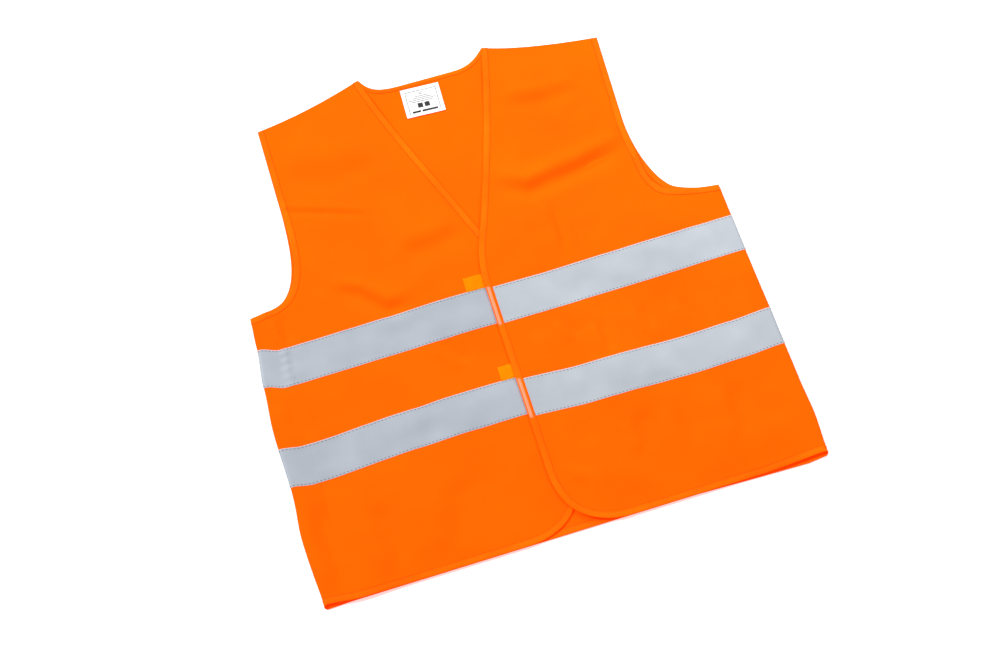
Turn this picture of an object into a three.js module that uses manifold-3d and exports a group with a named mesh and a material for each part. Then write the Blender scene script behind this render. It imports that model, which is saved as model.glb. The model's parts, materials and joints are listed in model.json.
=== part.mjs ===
// A sleeveless high visibility work vest, lying flat on its back with its front closed. Millimetres, +Z up.
// +Y points to the neck and +X to the wearer's left. The origin is under the middle of the vest, on the
// surface that it lies on.
import * as THREE from "three";
import { mergeVertices } from "three/addons/utils/BufferGeometryUtils.js";
import Module from "manifold-3d";

const wasm = await Module();
wasm.setup();

// ---- Driving dimensions. The plan is measured from the hem line (y = 0) and the centre front (x = 0). ----
const HALF_WIDTH = 314; // centre front to the side fold, from chest to hem
const BACK_HEM = -3; // the back panel is a little longer than the fronts
const ARMHOLE_BASE = 375; // height of the underarm
const SHOULDER_TIP = { right: [-237, 627], left: [232, 629.5] };
const NECK_POINT = { right: [-91, 661.5], left: [80, 660] };
const NECK_BASE = 637; // lowest line of the back neck
const V_BASE = [4, 415]; // where the neck edge turns into the front edge, each side of the centre
const OVERLAP = 16; // each front reaches this far past the centre
const FOLD_AT_HEM = { right: -97, left: 150 }; // fold lines run from the neck points to here
const SIDE_SEAM = { right: -277, left: 288 }; // the right seam lies on top, the left one underneath
const TAPE_WIDTH = 50;
const TAPE_BASE = { upper: 276, lower: 146 };
const BINDING_WIDTH = 9;
const NECK_BINDING_WIDTH = 6;
const LABEL = { left: -42, width: 52, height: 43 };
const PATCH_HEIGHT = 18; // hook and loop tape
const PATCH_END = { loop: -42, hook: 38 }; // from near the front edge to here
const PATCH_SET_BACK = 3; // from the edge binding
const SIDE_ALLOWANCE = 8; // width of a side seam's overlocked edges
const SHOULDER_ALLOWANCE = { from: 1, to: 3 }; // a shoulder seam's edges, from outside its line to inside

const CLOTH = 0.8; // thickness of a cloth panel, as a plain solid
const THIN = 0.4; // reflective tape, label and one leg of a binding
const PATCH = 0.8; // hook or loop tape
const GAP = 0.3; // clearance between pieces that touch
const BACK_Z = THIN + GAP; // underside of the back panel's cloth
const FRONT_Z = 7.6; // underside of the front panels' cloth
const HINGE_RISE = 1.2; // the fold axis runs this far above the cloth
const FOLD_GAP = 1; // each side of a fold line
const LEFT_FRONT_TILT = THREE.MathUtils.degToRad(1.8); // the left front climbs over the right one
const FOLD_RADIUS = (FRONT_Z + CLOTH - BACK_Z) / 2; // outside of a side fold
const MIDDLE = (NECK_POINT.right[1] + BACK_HEM - GAP - THIN) / 2; // from the hem line to the origin
const ABOVE_UNDERARM = ARMHOLE_BASE + 20; // past the side seams' upper ends
const FOLD_TOP = ARMHOLE_BASE + 8; // past the highest place of a side fold
const BIG = 2000; // past every edge of the vest
const CURVE_STEPS = 14;

// A binding or seam stops this short of the corners where edges meet.
const HEM_INSET = 6;
const FRONT_NECK_INSET = 3;
const BACK_NECK_INSET = 14;
const SHOULDER_INSET = 10;
const SHOULDER_NECK_INSET = 10;
const SHOULDER_TIP_INSET = 12;
const UNDERARM_INSET = 8;

const cloth = new THREE.MeshStandardMaterial({ color: 0xfd7203, roughness: 0.85, metalness: 0 });
const bindingTape = new THREE.MeshStandardMaterial({ color: 0xff7a18, roughness: 0.6, metalness: 0 });
const reflective = new THREE.MeshStandardMaterial({ color: 0xc4c9d1, roughness: 0.4, metalness: 0.2 });
const loopTape = new THREE.MeshStandardMaterial({ color: 0xff9c0a, roughness: 0.95, metalness: 0 });
const hookTape = new THREE.MeshStandardMaterial({ color: 0xff8c10, roughness: 0.7, metalness: 0 });
const labelSatin = new THREE.MeshStandardMaterial({ color: 0xf4f4f2, roughness: 0.5, metalness: 0 });

// ---- Solids ----

/** A closed geometry as a solid that can be cut and joined. */
function solidOf(geometry) {
  geometry.deleteAttribute("normal");
  geometry.deleteAttribute("uv");
  const merged = mergeVertices(geometry, 1e-3);
  return new wasm.Manifold(
    new wasm.Mesh({
      numProp: 3,
      vertProperties: merged.attributes.position.array,
      triVerts: new Uint32Array(merged.index.array),
    }),
  );
}

/** A solid as a named mesh. */
function meshOf(name, solid, material) {
  const made = solid.getMesh();
  const geometry = new THREE.BufferGeometry();
  geometry.setAttribute("position", new THREE.BufferAttribute(new Float32Array(made.vertProperties), 3));
  geometry.setIndex(new THREE.BufferAttribute(new Uint32Array(made.triVerts), 1));
  geometry.computeVertexNormals();
  const mesh = new THREE.Mesh(geometry, material);
  mesh.name = name;
  return mesh;
}

/** A plate of the plan outline, from height z up. */
function plate(outline, z, thickness) {
  const shape = new THREE.Shape(outline);
  const geometry = new THREE.ExtrudeGeometry(shape, { depth: thickness, bevelEnabled: false });
  return solidOf(geometry.translate(0, 0, z));
}

/** A plan rectangle as a plate. */
function slab(x0, x1, y0, y1, z, thickness) {
  const corners = [[x0, y0], [x1, y0], [x1, y1], [x0, y1]].map(([x, y]) => new THREE.Vector2(x, y));
  return plate(corners, z, thickness);
}

/** An outline in X and Z drawn out along Y, from y0 to y1. */
function drawnAlongY(shape, y0, y1) {
  const settings = { depth: y1 - y0, bevelEnabled: false, curveSegments: CURVE_STEPS };
  const geometry = new THREE.ExtrudeGeometry(shape, settings);
  return solidOf(geometry.rotateX(Math.PI / 2).translate(0, y1, 0));
}

// ---- Edges of the pattern pieces, each a list of plan points ----

/** One drawing's points: a start, then straight lines [x, y] and curves [c1x, c1y, c2x, c2y, x, y]. */
function draw(start, ...moves) {
  const path = new THREE.Path().moveTo(...start);
  for (const move of moves) {
    if (move.length === 2) path.lineTo(...move);
    else path.bezierCurveTo(...move);
  }
  return path.getPoints(CURVE_STEPS);
}

const mirrored = (points) => points.map((p) => new THREE.Vector2(-p.x, p.y));
const reversed = (points) => [...points].reverse();

// From the shoulder tip down to the underarm. The left armhole is the looser one, and its front is scooped.
const armholeRight = draw(
  SHOULDER_TIP.right,
  [-235, 500],
  [-235, 430, -245, 383, -292, 379],
  [-HALF_WIDTH, ARMHOLE_BASE],
);
const armholeLeftBack = draw(
  SHOULDER_TIP.left,
  [223.5, 500],
  [222, 455, 234, 400, 256, 391],
  [272, 384, 292, 379, HALF_WIDTH, ARMHOLE_BASE],
);
const armholeLeftFront = draw(
  SHOULDER_TIP.left,
  [222, 500],
  [220, 450, 226, 398, 252, 390],
  [272, 383, 292, 379, HALF_WIDTH, ARMHOLE_BASE],
);
const shoulderRight = draw(NECK_POINT.right, [-132, 648.5, -180, 634.5, ...SHOULDER_TIP.right]);
const shoulderLeft = draw(NECK_POINT.left, [120, 645.5, 180, 636, ...SHOULDER_TIP.left]);
const backNeck = draw(
  NECK_POINT.right,
  [-80, 640, -68, NECK_BASE, -45, NECK_BASE],
  [32, NECK_BASE],
  [55, NECK_BASE, 66, 646, ...NECK_POINT.left],
);

/** From the neck point down the V, the front edge and the round corner, and along the hem to the side. */
function frontEdge(neckX, neckY) {
  return draw(
    [neckX, neckY],
    [neckX + 16, neckY - 70, -35, 500, -V_BASE[0], V_BASE[1]],
    [6, 390, OVERLAP, 368, OVERLAP, 335],
    [OVERLAP, 80],
    [OVERLAP, 36, -6, 2, -62, 0],
    [-HALF_WIDTH, 0],
  );
}
const frontEdgeRight = frontEdge(...NECK_POINT.right);
const frontEdgeLeft = mirrored(frontEdge(-NECK_POINT.left[0], NECK_POINT.left[1]));

const frontOutlineRight = [
  ...frontEdgeRight,
  ...reversed(armholeRight),
  ...reversed(shoulderRight).slice(1, -1),
];
const frontOutlineLeft = [
  ...frontEdgeLeft,
  ...reversed(armholeLeftFront),
  ...reversed(shoulderLeft).slice(1, -1),
];
const backHem = draw([-HALF_WIDTH, BACK_HEM], [HALF_WIDTH, BACK_HEM]);
const backOutline = [
  ...backHem,
  ...reversed(armholeLeftBack),
  ...reversed(shoulderLeft).slice(1, -1),
  ...reversed(backNeck),
  ...shoulderRight.slice(1),
  ...armholeRight.slice(1),
];

/** The band between two offsets from an open line, where the cloth lies on the side that sign gives. */
function band(line, sign, inner, outer) {
  const side = (offset) =>
    line.map((p, i) => {
      const along = line[Math.min(i + 1, line.length - 1)].clone().sub(line[Math.max(i - 1, 0)]).normalize();
      return new THREE.Vector2(p.x + sign * along.y * offset, p.y - sign * along.x * offset);
    });
  return [...side(outer), ...reversed(side(-inner))];
}

/** A line without its first and last stretches. */
function trimmed(line, start, end) {
  const curve = new THREE.CurvePath();
  for (let i = 1; i < line.length; i++) curve.add(new THREE.LineCurve(line[i - 1], line[i]));
  const length = curve.getLength();
  const inside = (p, i) => {
    const at = curve.getCurveLengths()[i - 1] ?? 0;
    return at > start + 1 && at < length - end - 1;
  };
  return [curve.getPointAt(start / length), ...line.filter(inside), curve.getPointAt(1 - end / length)];
}

/** A folded binding that holds the cloth's edge between its two legs. */
function binding(line, sign, clothZ, width = BINDING_WIDTH) {
  const low = clothZ - GAP - THIN;
  const high = clothZ + CLOTH + GAP;
  const legs = band(line, sign, width, GAP + THIN);
  return plate(legs, low, THIN)
    .add(plate(legs, high, THIN))
    .add(plate(band(line, sign, -GAP, GAP + THIN), low, high + THIN - low));
}

// ---- Side folds ----

/** The section of cloth or tape round a side fold: two straight legs joined by a half circle at x = 0. */
function foldSection(radius, thickness, lowerLeg, upperLeg) {
  const inner = radius - thickness;
  const shape = new THREE.Shape();
  shape.moveTo(lowerLeg, -radius);
  shape.lineTo(0, -radius);
  shape.absarc(0, 0, radius, -Math.PI / 2, -1.5 * Math.PI, true);
  shape.lineTo(upperLeg, radius);
  shape.lineTo(upperLeg, inner);
  shape.lineTo(0, inner);
  shape.absarc(0, 0, inner, -1.5 * Math.PI, -Math.PI / 2, false);
  shape.lineTo(lowerLeg, -inner);
  return shape;
}

/** Cloth or tape round the fold on one side, from y0 to y1, with legs that reach x = lower and x = upper. */
function sideFold(side, offset, thickness, lower, upper, y0, y1) {
  const axisX = HALF_WIDTH - FOLD_RADIUS;
  const legs = side === "right" ? [lower + axisX, upper + axisX] : [axisX - lower, axisX - upper];
  const folded = drawnAlongY(foldSection(FOLD_RADIUS + offset, thickness, ...legs), y0, y1);
  const turned = side === "right" ? folded : folded.mirror([1, 0, 0]);
  return turned.translate([side === "right" ? -axisX : axisX, 0, BACK_Z + FOLD_RADIUS]);
}

// ---- Fold lines of the fronts ----

/** One front's fold line: its axis, and the cutters that part the moving flap from the fixed side. */
function foldLine(side) {
  const neck = new THREE.Vector2(...NECK_POINT[side]);
  const hem = new THREE.Vector2(FOLD_AT_HEM[side], 0);
  const along = neck.clone().sub(hem).normalize();
  const outward = new THREE.Vector2(along.y, -along.x).multiplyScalar(side === "right" ? -1 : 1);
  const corner = (run, out) => hem.clone().addScaledVector(along, run).addScaledVector(outward, out);
  const half = (direction) => {
    const near = direction * -FOLD_GAP;
    const far = direction * BIG;
    const outline = [corner(-BIG, near), corner(BIG, near), corner(BIG, far), corner(-BIG, far)];
    return plate(outline, -BIG / 2, BIG);
  };
  return {
    axisPoint: new THREE.Vector3(hem.x, hem.y, FRONT_Z + CLOTH + HINGE_RISE),
    axis: new THREE.Vector3(along.x, along.y, 0),
    fixedOnly: (solid) => solid.subtract(half(-1)),
    flapOnly: (solid) => solid.subtract(half(1)),
  };
}
const folds = { right: foldLine("right"), left: foldLine("left") };

/** A group turned about a fold line by an angle, holding solids given in the plan's own place. */
function flapGroup(fold, angle, meshes) {
  const group = new THREE.Group();
  group.position.copy(fold.axisPoint);
  group.quaternion.setFromAxisAngle(fold.axis, angle);
  for (const mesh of meshes) {
    mesh.geometry.translate(-fold.axisPoint.x, -fold.axisPoint.y, -fold.axisPoint.z);
    group.add(mesh);
  }
  return group;
}

// ---- The back ----

function backPanel() {
  const seamCut = slab(SIDE_SEAM.left - GAP / 2, BIG, -BIG, ABOVE_UNDERARM, -BIG / 2, BIG);
  const flat = plate(backOutline, BACK_Z, CLOTH);
  const inside = plate(backOutline, -BIG / 2, BIG);
  const wrap = sideFold("right", 0, CLOTH, 0, SIDE_SEAM.right - GAP / 2, BACK_HEM, FOLD_TOP);
  const longerHem = slab(-BIG, 0, BACK_HEM - GAP, 0, BACK_Z + FOLD_RADIUS, BIG);
  const foldEdge = slab(-BIG, -HALF_WIDTH + FOLD_RADIUS, -BIG, BIG, -BIG / 2, BIG);
  return flat.subtract(foldEdge).subtract(seamCut).add(wrap.intersect(inside).subtract(longerHem));
}

function backTape(level) {
  const y0 = TAPE_BASE[level];
  const ends = [SIDE_SEAM.left - GAP / 2, SIDE_SEAM.right - GAP / 2];
  return sideFold("right", GAP + THIN, THIN, ...ends, y0, y0 + TAPE_WIDTH);
}

function label() {
  const top = NECK_BASE - NECK_BINDING_WIDTH - GAP;
  return slab(LABEL.left, LABEL.left + LABEL.width, top - LABEL.height, top, BACK_Z + CLOTH + GAP, THIN);
}

// ---- The fronts ----

const frontTop = FRONT_Z + CLOTH + GAP; // what lies on a front's outside starts here

function frontPanelRight() {
  const seamSide = slab(-BIG, SIDE_SEAM.right + GAP / 2, -BIG, ABOVE_UNDERARM, -BIG / 2, BIG);
  return plate(frontOutlineRight, FRONT_Z, CLOTH).subtract(seamSide);
}

function frontPanelLeft() {
  const inside = plate(frontOutlineLeft, -BIG / 2, BIG);
  const wrap = sideFold("left", 0, CLOTH, SIDE_SEAM.left + GAP / 2, 0, 0, FOLD_TOP);
  const foldEdge = slab(HALF_WIDTH - FOLD_RADIUS, BIG, -BIG, BIG, -BIG / 2, BIG);
  return plate(frontOutlineLeft, FRONT_Z, CLOTH).subtract(foldEdge).add(wrap.intersect(inside));
}

function frontTapeRight(level) {
  const y0 = TAPE_BASE[level];
  const end = OVERLAP - BINDING_WIDTH - GAP;
  return slab(SIDE_SEAM.right + GAP / 2, end, y0, y0 + TAPE_WIDTH, frontTop, THIN);
}

function frontTapeLeft(level) {
  const y0 = TAPE_BASE[level];
  const end = -OVERLAP + BINDING_WIDTH + GAP;
  return sideFold("left", GAP + THIN, THIN, SIDE_SEAM.left + GAP / 2, end, y0, y0 + TAPE_WIDTH);
}

/** Loop tape outside the right front, or hook tape inside the left one, above a reflective tape. */
function closurePatch(kind, level) {
  const y0 = TAPE_BASE[level] + TAPE_WIDTH + GAP;
  const reach = OVERLAP - BINDING_WIDTH - PATCH_SET_BACK;
  return kind === "loop"
    ? slab(PATCH_END.loop, reach, y0, y0 + PATCH_HEIGHT, frontTop, PATCH)
    : slab(-reach, PATCH_END.hook, y0, y0 + PATCH_HEIGHT, FRONT_Z - GAP - PATCH, PATCH);
}

// ---- Seams: the two raw edges of a seam, overlocked together and turned inside ----

function shoulderSeam(side) {
  const shoulder = side === "right" ? shoulderRight : shoulderLeft;
  const line = trimmed(shoulder, SHOULDER_NECK_INSET, SHOULDER_TIP_INSET);
  const edges = band(line, side === "right" ? 1 : -1, SHOULDER_ALLOWANCE.to, -SHOULDER_ALLOWANCE.from);
  const z0 = BACK_Z + CLOTH + GAP;
  return plate(edges, z0, FRONT_Z - GAP - z0);
}

function sideSeam(side) {
  const x0 = SIDE_SEAM[side] - SIDE_ALLOWANCE / 2;
  const z0 = side === "right" ? FRONT_Z - GAP - CLOTH : BACK_Z + CLOTH + GAP;
  const y0 = BINDING_WIDTH + FRONT_NECK_INSET;
  const y1 = ARMHOLE_BASE - BINDING_WIDTH - HEM_INSET;
  return slab(x0, x0 + SIDE_ALLOWANCE, y0, y1, z0, CLOTH);
}

// ---- Bindings ----

const frontBindings = {
  right: binding(trimmed(frontEdgeRight, FRONT_NECK_INSET, HEM_INSET), -1, FRONT_Z),
  left: binding(trimmed(frontEdgeLeft, FRONT_NECK_INSET, HEM_INSET), 1, FRONT_Z),
};
const backHemBinding = binding(trimmed(backHem, HEM_INSET, HEM_INSET), 1, BACK_Z);
const backNeckLine = trimmed(backNeck, BACK_NECK_INSET, BACK_NECK_INSET);
const backNeckBinding = binding(backNeckLine, -1, BACK_Z, NECK_BINDING_WIDTH);
const armholeBinding = (line, sign, clothZ) =>
  binding(trimmed(line, SHOULDER_INSET, UNDERARM_INSET), sign, clothZ);
const armholeBindings = {
  right_armhole_binding_front: armholeBinding(armholeRight, 1, FRONT_Z),
  right_armhole_binding_back: armholeBinding(armholeRight, 1, BACK_Z),
  left_armhole_binding_front: armholeBinding(armholeLeftFront, -1, FRONT_Z),
  left_armhole_binding_back: armholeBinding(armholeLeftBack, -1, BACK_Z),
};

// ---- Assembly ----

const panels = { right: frontPanelRight(), left: frontPanelLeft() };
const tapes = { right: frontTapeRight, left: frontTapeLeft };
const aboveHem = slab(-BIG, BIG, 2 * BINDING_WIDTH, BIG, -BIG / 2, BIG);
const vest = new THREE.Group();
vest.position.y = -MIDDLE;

vest.add(meshOf("back_panel", backPanel(), cloth));
vest.add(meshOf("back_hem_binding", backHemBinding, bindingTape));
vest.add(meshOf("back_neck_binding", backNeckBinding, bindingTape));
vest.add(meshOf("neck_label", label(), labelSatin));
for (const [name, solid] of Object.entries(armholeBindings)) vest.add(meshOf(name, solid, bindingTape));
for (const level of ["upper", "lower"]) vest.add(meshOf(`back_${level}_tape`, backTape(level), reflective));

for (const side of ["right", "left"]) {
  const fold = folds[side];
  vest.add(meshOf(`${side}_shoulder_seam`, shoulderSeam(side), cloth));
  vest.add(meshOf(`${side}_side_seam`, sideSeam(side), cloth));
  vest.add(meshOf(`${side}_front_side_panel`, fold.fixedOnly(panels[side]), cloth));
  const hemBinding = fold.fixedOnly(frontBindings[side]).subtract(aboveHem);
  vest.add(meshOf(`${side}_front_hem_binding`, hemBinding, bindingTape));
  const onFlap = [
    meshOf(`${side}_front_flap_panel`, fold.flapOnly(panels[side]), cloth),
    meshOf(`${side}_front_edge_binding`, fold.flapOnly(frontBindings[side]), bindingTape),
  ];
  const kind = side === "right" ? "loop" : "hook";
  const patchTape = side === "right" ? loopTape : hookTape;
  for (const level of ["upper", "lower"]) {
    const tape = tapes[side](level);
    vest.add(meshOf(`${side}_front_${level}_tape_side`, fold.fixedOnly(tape), reflective));
    onFlap.push(meshOf(`${side}_front_${level}_tape_flap`, fold.flapOnly(tape), reflective));
    onFlap.push(meshOf(`${level}_${kind}_patch`, closurePatch(kind, level), patchTape));
  }
  vest.add(flapGroup(fold, side === "left" ? LEFT_FRONT_TILT : 0, onFlap));
}

export default vest;
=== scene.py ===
"""A high visibility vest lying flat and closed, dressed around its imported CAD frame.

Lengths inside the script are millimetres on the vest's plan: x runs to the wearer's left from the centre
front, and y from the hem line to the neck. Each cloth panel has a flat pattern of its own, and a map that
lays it down.
"""
import json
import logging
import math
from dataclasses import dataclass, field
from enum import Enum
from typing import Callable, Sequence

import bpy
import numpy as np
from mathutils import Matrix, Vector
from mathutils.geometry import delaunay_2d_cdt


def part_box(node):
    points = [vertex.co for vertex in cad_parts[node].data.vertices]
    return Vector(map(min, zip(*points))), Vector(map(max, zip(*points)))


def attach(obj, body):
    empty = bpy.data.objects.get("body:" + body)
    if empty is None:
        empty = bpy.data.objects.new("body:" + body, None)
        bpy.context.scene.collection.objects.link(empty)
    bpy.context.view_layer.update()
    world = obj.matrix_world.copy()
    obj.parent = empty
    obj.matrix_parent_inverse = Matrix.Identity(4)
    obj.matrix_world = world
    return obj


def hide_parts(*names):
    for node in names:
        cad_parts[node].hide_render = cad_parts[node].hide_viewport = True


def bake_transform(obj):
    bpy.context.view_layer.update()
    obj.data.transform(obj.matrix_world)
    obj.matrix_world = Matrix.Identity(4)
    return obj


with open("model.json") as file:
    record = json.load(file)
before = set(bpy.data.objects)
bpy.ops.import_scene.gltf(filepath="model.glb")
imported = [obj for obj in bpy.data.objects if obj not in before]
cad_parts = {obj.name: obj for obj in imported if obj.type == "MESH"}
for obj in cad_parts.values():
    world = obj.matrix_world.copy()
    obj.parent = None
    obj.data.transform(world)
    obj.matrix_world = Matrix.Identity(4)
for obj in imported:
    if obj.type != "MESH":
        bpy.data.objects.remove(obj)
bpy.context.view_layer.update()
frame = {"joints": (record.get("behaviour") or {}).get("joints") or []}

LOG = logging.getLogger("vest")
MM = 0.001
Points = np.ndarray
Colour = tuple[float, float, float]
Reach = tuple[float, float]
Height = Callable[[Points, Points], Points]
Piece, Mesh, Material = bpy.types.Object, bpy.types.Mesh, bpy.types.Material
Node, Socket, Group = bpy.types.Node, bpy.types.NodeSocket, bpy.types.NodeTree


class Side(Enum):
    """The wearer's side, with the sign of its x."""

    RIGHT = -1
    LEFT = 1

    @property
    def word(self) -> str:
        """The side's name as the frame spells it."""
        return self.name.lower()


class Level(Enum):
    """The height of a reflective tape, and of the closure patch above it."""

    UPPER = "upper"
    LOWER = "lower"


# ---- The frame's measures ----


def corner(node: str, which: int) -> Vector:
    """A CAD node's lowest (0) or highest (1) corner, in millimetres from the middle of the frame."""
    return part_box(node)[which] / MM


TAPE_PAST_FOLD = 0.7
HALF_WIDTH = -corner("back_upper_tape", 0).x - TAPE_PAST_FOLD
HEM_Y = corner("right_front_side_panel", 0).y
BACK_HEM = corner("back_panel", 0).y - HEM_Y
TAPE_WIDTH = corner("back_upper_tape", 1).y - corner("back_upper_tape", 0).y
TAPE_BASE = {level: corner(f"back_{level.value}_tape", 0).y - HEM_Y for level in Level}
LABEL_BOX = (corner("neck_label", 0), corner("neck_label", 1))

CLOTH = 0.35
TAPE_CLOTH = 0.22
BINDING_CLOTH = 0.22
BINDING_WIDTH = 8.0
NECK_BINDING_WIDTH = 5.8
FOLD_RADIUS = 2.3
FOLD_START = HALF_WIDTH - FOLD_RADIUS
FOLD_LENGTH = math.pi * FOLD_RADIUS
OVERLAP = 16.0
UNDERARM = 375.0
SHOULDER_TIP = {Side.RIGHT: (-237.0, 627.0), Side.LEFT: (232.0, 629.5)}
NECK_POINT = {Side.RIGHT: (-91.0, 661.5), Side.LEFT: (80.0, 660.0)}
NECK_BASE = 637.8
SIDE_SEAM = {Side.RIGHT: -277.0, Side.LEFT: 288.0}
FRONT_HEM = -0.9
# The top end of the right side seam.
SEAM_BEND = ((SIDE_SEAM[Side.RIGHT], 322.0), (-283.0, 350.0), (-293.0, 380.0))
# The y of each front hem at its side fold.
MOUTH = {Side.RIGHT: 3.2, Side.LEFT: 2.8}
# The spacing of the points along a pattern's outline, and of the net inside it.
EDGE_STEP = 3.4
NET_STEP = 4.2


# ---- Lines on the plan ----


def draw(start: Sequence[float], *moves: Sequence[float]) -> Points:
    """Draws one line of a pattern piece.

    Args:
        start: The first point.
        moves: Straight lines (x, y) and Bezier curves (c1x, c1y, c2x, c2y, x, y).

    Returns:
        The points along the line, closely spaced on its curves.
    """
    points = [np.array(start, float)]
    steps = np.linspace(0, 1, 41)[1:, None]
    for move in moves:
        here = points[-1]
        if len(move) == 2:
            points.append(np.array(move, float))
            continue
        first, second, end = np.array(move, float).reshape(3, 2)
        curve = (
            (1 - steps) ** 3 * here + 3 * (1 - steps) ** 2 * steps * first
            + 3 * (1 - steps) * steps**2 * second + steps**3 * end
        )
        points.extend(curve)
    return np.array(points)


def lengths(line: Points) -> Points:
    """The distance along a line of each of its points."""
    return np.concatenate([[0], np.cumsum(np.linalg.norm(np.diff(line, axis=0), axis=1))])


def spaced(line: Points, step: float) -> Points:
    """The line with points a step apart, its two ends kept.

    Args:
        line: The line's points.
        step: The distance wanted between points.

    Returns:
        The new points.
    """
    run = lengths(line)
    at = np.linspace(0, run[-1], max(2, round(run[-1] / step) + 1))
    return np.stack([np.interp(at, run, line[:, 0]), np.interp(at, run, line[:, 1])], axis=1)


def part(line: Points, start: float, end: float) -> Points:
    """A stretch of a line.

    Args:
        line: The line's points.
        start: How far along the line the stretch starts.
        end: How far along it ends; zero or a negative one counts back from the far end.

    Returns:
        The stretch's points.
    """
    run = lengths(line)
    stop = end if end > 0 else run[-1] + end
    at = np.unique(np.concatenate([[start, stop], run[(run > start) & (run < stop)]]))
    return np.stack([np.interp(at, run, line[:, 0]), np.interp(at, run, line[:, 1])], axis=1)


def until_x(line: Points, x: float) -> Points:
    """The line from its start as far as it first crosses x.

    Args:
        line: The line's points.
        x: The x to stop at.

    Returns:
        The points before the crossing, and the crossing itself.
    """
    sides = np.sign(line[:, 0] - x)
    last = int(np.argmax(sides != sides[0]))
    a, b = line[last - 1], line[last]
    crossing = a + (b - a) * (x - a[0]) / (b[0] - a[0])
    return np.vstack([line[:last], crossing])


def moved_inward(line: Points, distance: float, hand: int) -> Points:
    """The line moved sideways.

    Args:
        line: The line's points.
        distance: How far to move it.
        hand: 1 to move it to the line's left, and -1 to its right.

    Returns:
        The moved points.
    """
    along = np.gradient(line, axis=0)
    along /= np.linalg.norm(along, axis=1)[:, None]
    return line + hand * distance * np.stack([-along[:, 1], along[:, 0]], axis=1)


def nearest(line: Points, x: Points, y: Points) -> tuple[Points, Points]:
    """Finds the nearest place on a line to each point.

    Args:
        line: The line's points.
        x: The points' x.
        y: The points' y.

    Returns:
        The distance from each point to the line, and how far along the line its nearest place is.
    """
    start, step = line[:-1], np.diff(line, axis=0)
    size = np.maximum((step**2).sum(axis=1), 1e-9)
    run = lengths(line)[:-1]
    distances, places = [], []
    for chunk in np.array_split(np.stack([x, y], axis=1), max(1, len(x) // 8000)):
        offset = chunk[:, None, :] - start[None]
        share = np.clip((offset * step).sum(axis=2) / size, 0, 1)
        apart = np.linalg.norm(offset - share[..., None] * step, axis=2)
        best = apart.argmin(axis=1)
        rows = np.arange(len(chunk))
        distances.append(apart[rows, best])
        places.append(run[best] + share[rows, best] * np.sqrt(size[best]))
    return np.concatenate(distances), np.concatenate(places)


def eased(value: Points) -> Points:
    """A smooth step from 0 at value 0 to 1 at value 1."""
    t = np.clip(value, 0, 1)
    return t * t * (3 - 2 * t)


def between(knots: Sequence[tuple[float, float]], at: Points) -> Points:
    """A smooth curve through (place, value) knots, level at each of them and past the ends.

    Args:
        knots: Pairs of place and value, in the order of their places.
        at: The places to read the curve at.

    Returns:
        The curve's value at each place.
    """
    result = np.full(np.shape(at), knots[0][1], float)
    for (x0, y0), (x1, y1) in zip(knots, knots[1:]):
        result += (y1 - y0) * eased((at - x0) / (x1 - x0))
    return result


def bump(value: Points, middle: float, width: float) -> Points:
    """A bell of height 1 at the middle, falling away over the width."""
    return np.exp(-(((value - middle) / width) ** 2))


class Plan:
    """The vest's outline, seen from above."""

    def __init__(self) -> None:
        """Draws every edge once."""
        tip, neck = SHOULDER_TIP, NECK_POINT
        right, left = Side.RIGHT, Side.LEFT
        corner_right, corner_left = (-HALF_WIDTH, UNDERARM), (HALF_WIDTH, UNDERARM)
        self.armhole_front = {
            right: draw(tip[right], (-235.5, 500), (-234.5, 435, -240, 382, -292, 378), corner_right),
            left: draw(
                tip[left], (223.5, 500), (222.5, 480, 227, 455, 227, 440), (227, 415, 232, 395, 253, 387.5),
                (268, 382, 292, 377, *corner_left),
            ),
        }
        self.armhole_back = {
            right: draw(tip[right], (-237, 500), (-239, 440, -243, 384, -292, 377.5), corner_right),
            left: draw(
                tip[left], (225, 500), (224, 455, 238, 406, 258, 392), (272, 384, 292, 379, *corner_left),
            ),
        }
        self.shoulder = {
            right: draw(neck[right], (-132, 647.6, -180, 633.5, *tip[right])),
            left: draw(neck[left], (120, 644.5, 180, 635, *tip[left])),
        }
        self.back_neck = draw(
            neck[right], (-81, 644, -72, NECK_BASE + 0.6, -45, NECK_BASE), (32, NECK_BASE),
            (55, NECK_BASE, 66, 646, *neck[left]),
        )
        self.front_edge = {side: self._front_edge(*neck[side], side) for side in Side}

    @staticmethod
    def _front_edge(neck_x: float, neck_y: float, side: Side) -> Points:
        """One front's free edge: down the V, round the bottom corner and along the hem.

        Args:
            neck_x: The neck point's x.
            neck_y: The neck point's y.
            side: The front's side.

        Returns:
            The line, from the neck point to the side fold.
        """
        mouth = MOUTH[side]
        line = draw(
            (-abs(neck_x), neck_y),
            (-abs(neck_x) + 16, neck_y - 70, -35, 500, -4, 415),
            (6, 390, OVERLAP, 368, OVERLAP, 335),
            (OVERLAP, 80),
            (OVERLAP, 36, -6, FRONT_HEM + 2, -62, FRONT_HEM),
            (-225 if side is Side.LEFT else -262, FRONT_HEM),
            (-265 if side is Side.LEFT else -285, FRONT_HEM, -295, mouth, -HALF_WIDTH, mouth),
        )
        return line * (-side.value, 1)


PLAN = Plan()


# ---- How the cloth lies ----


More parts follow.
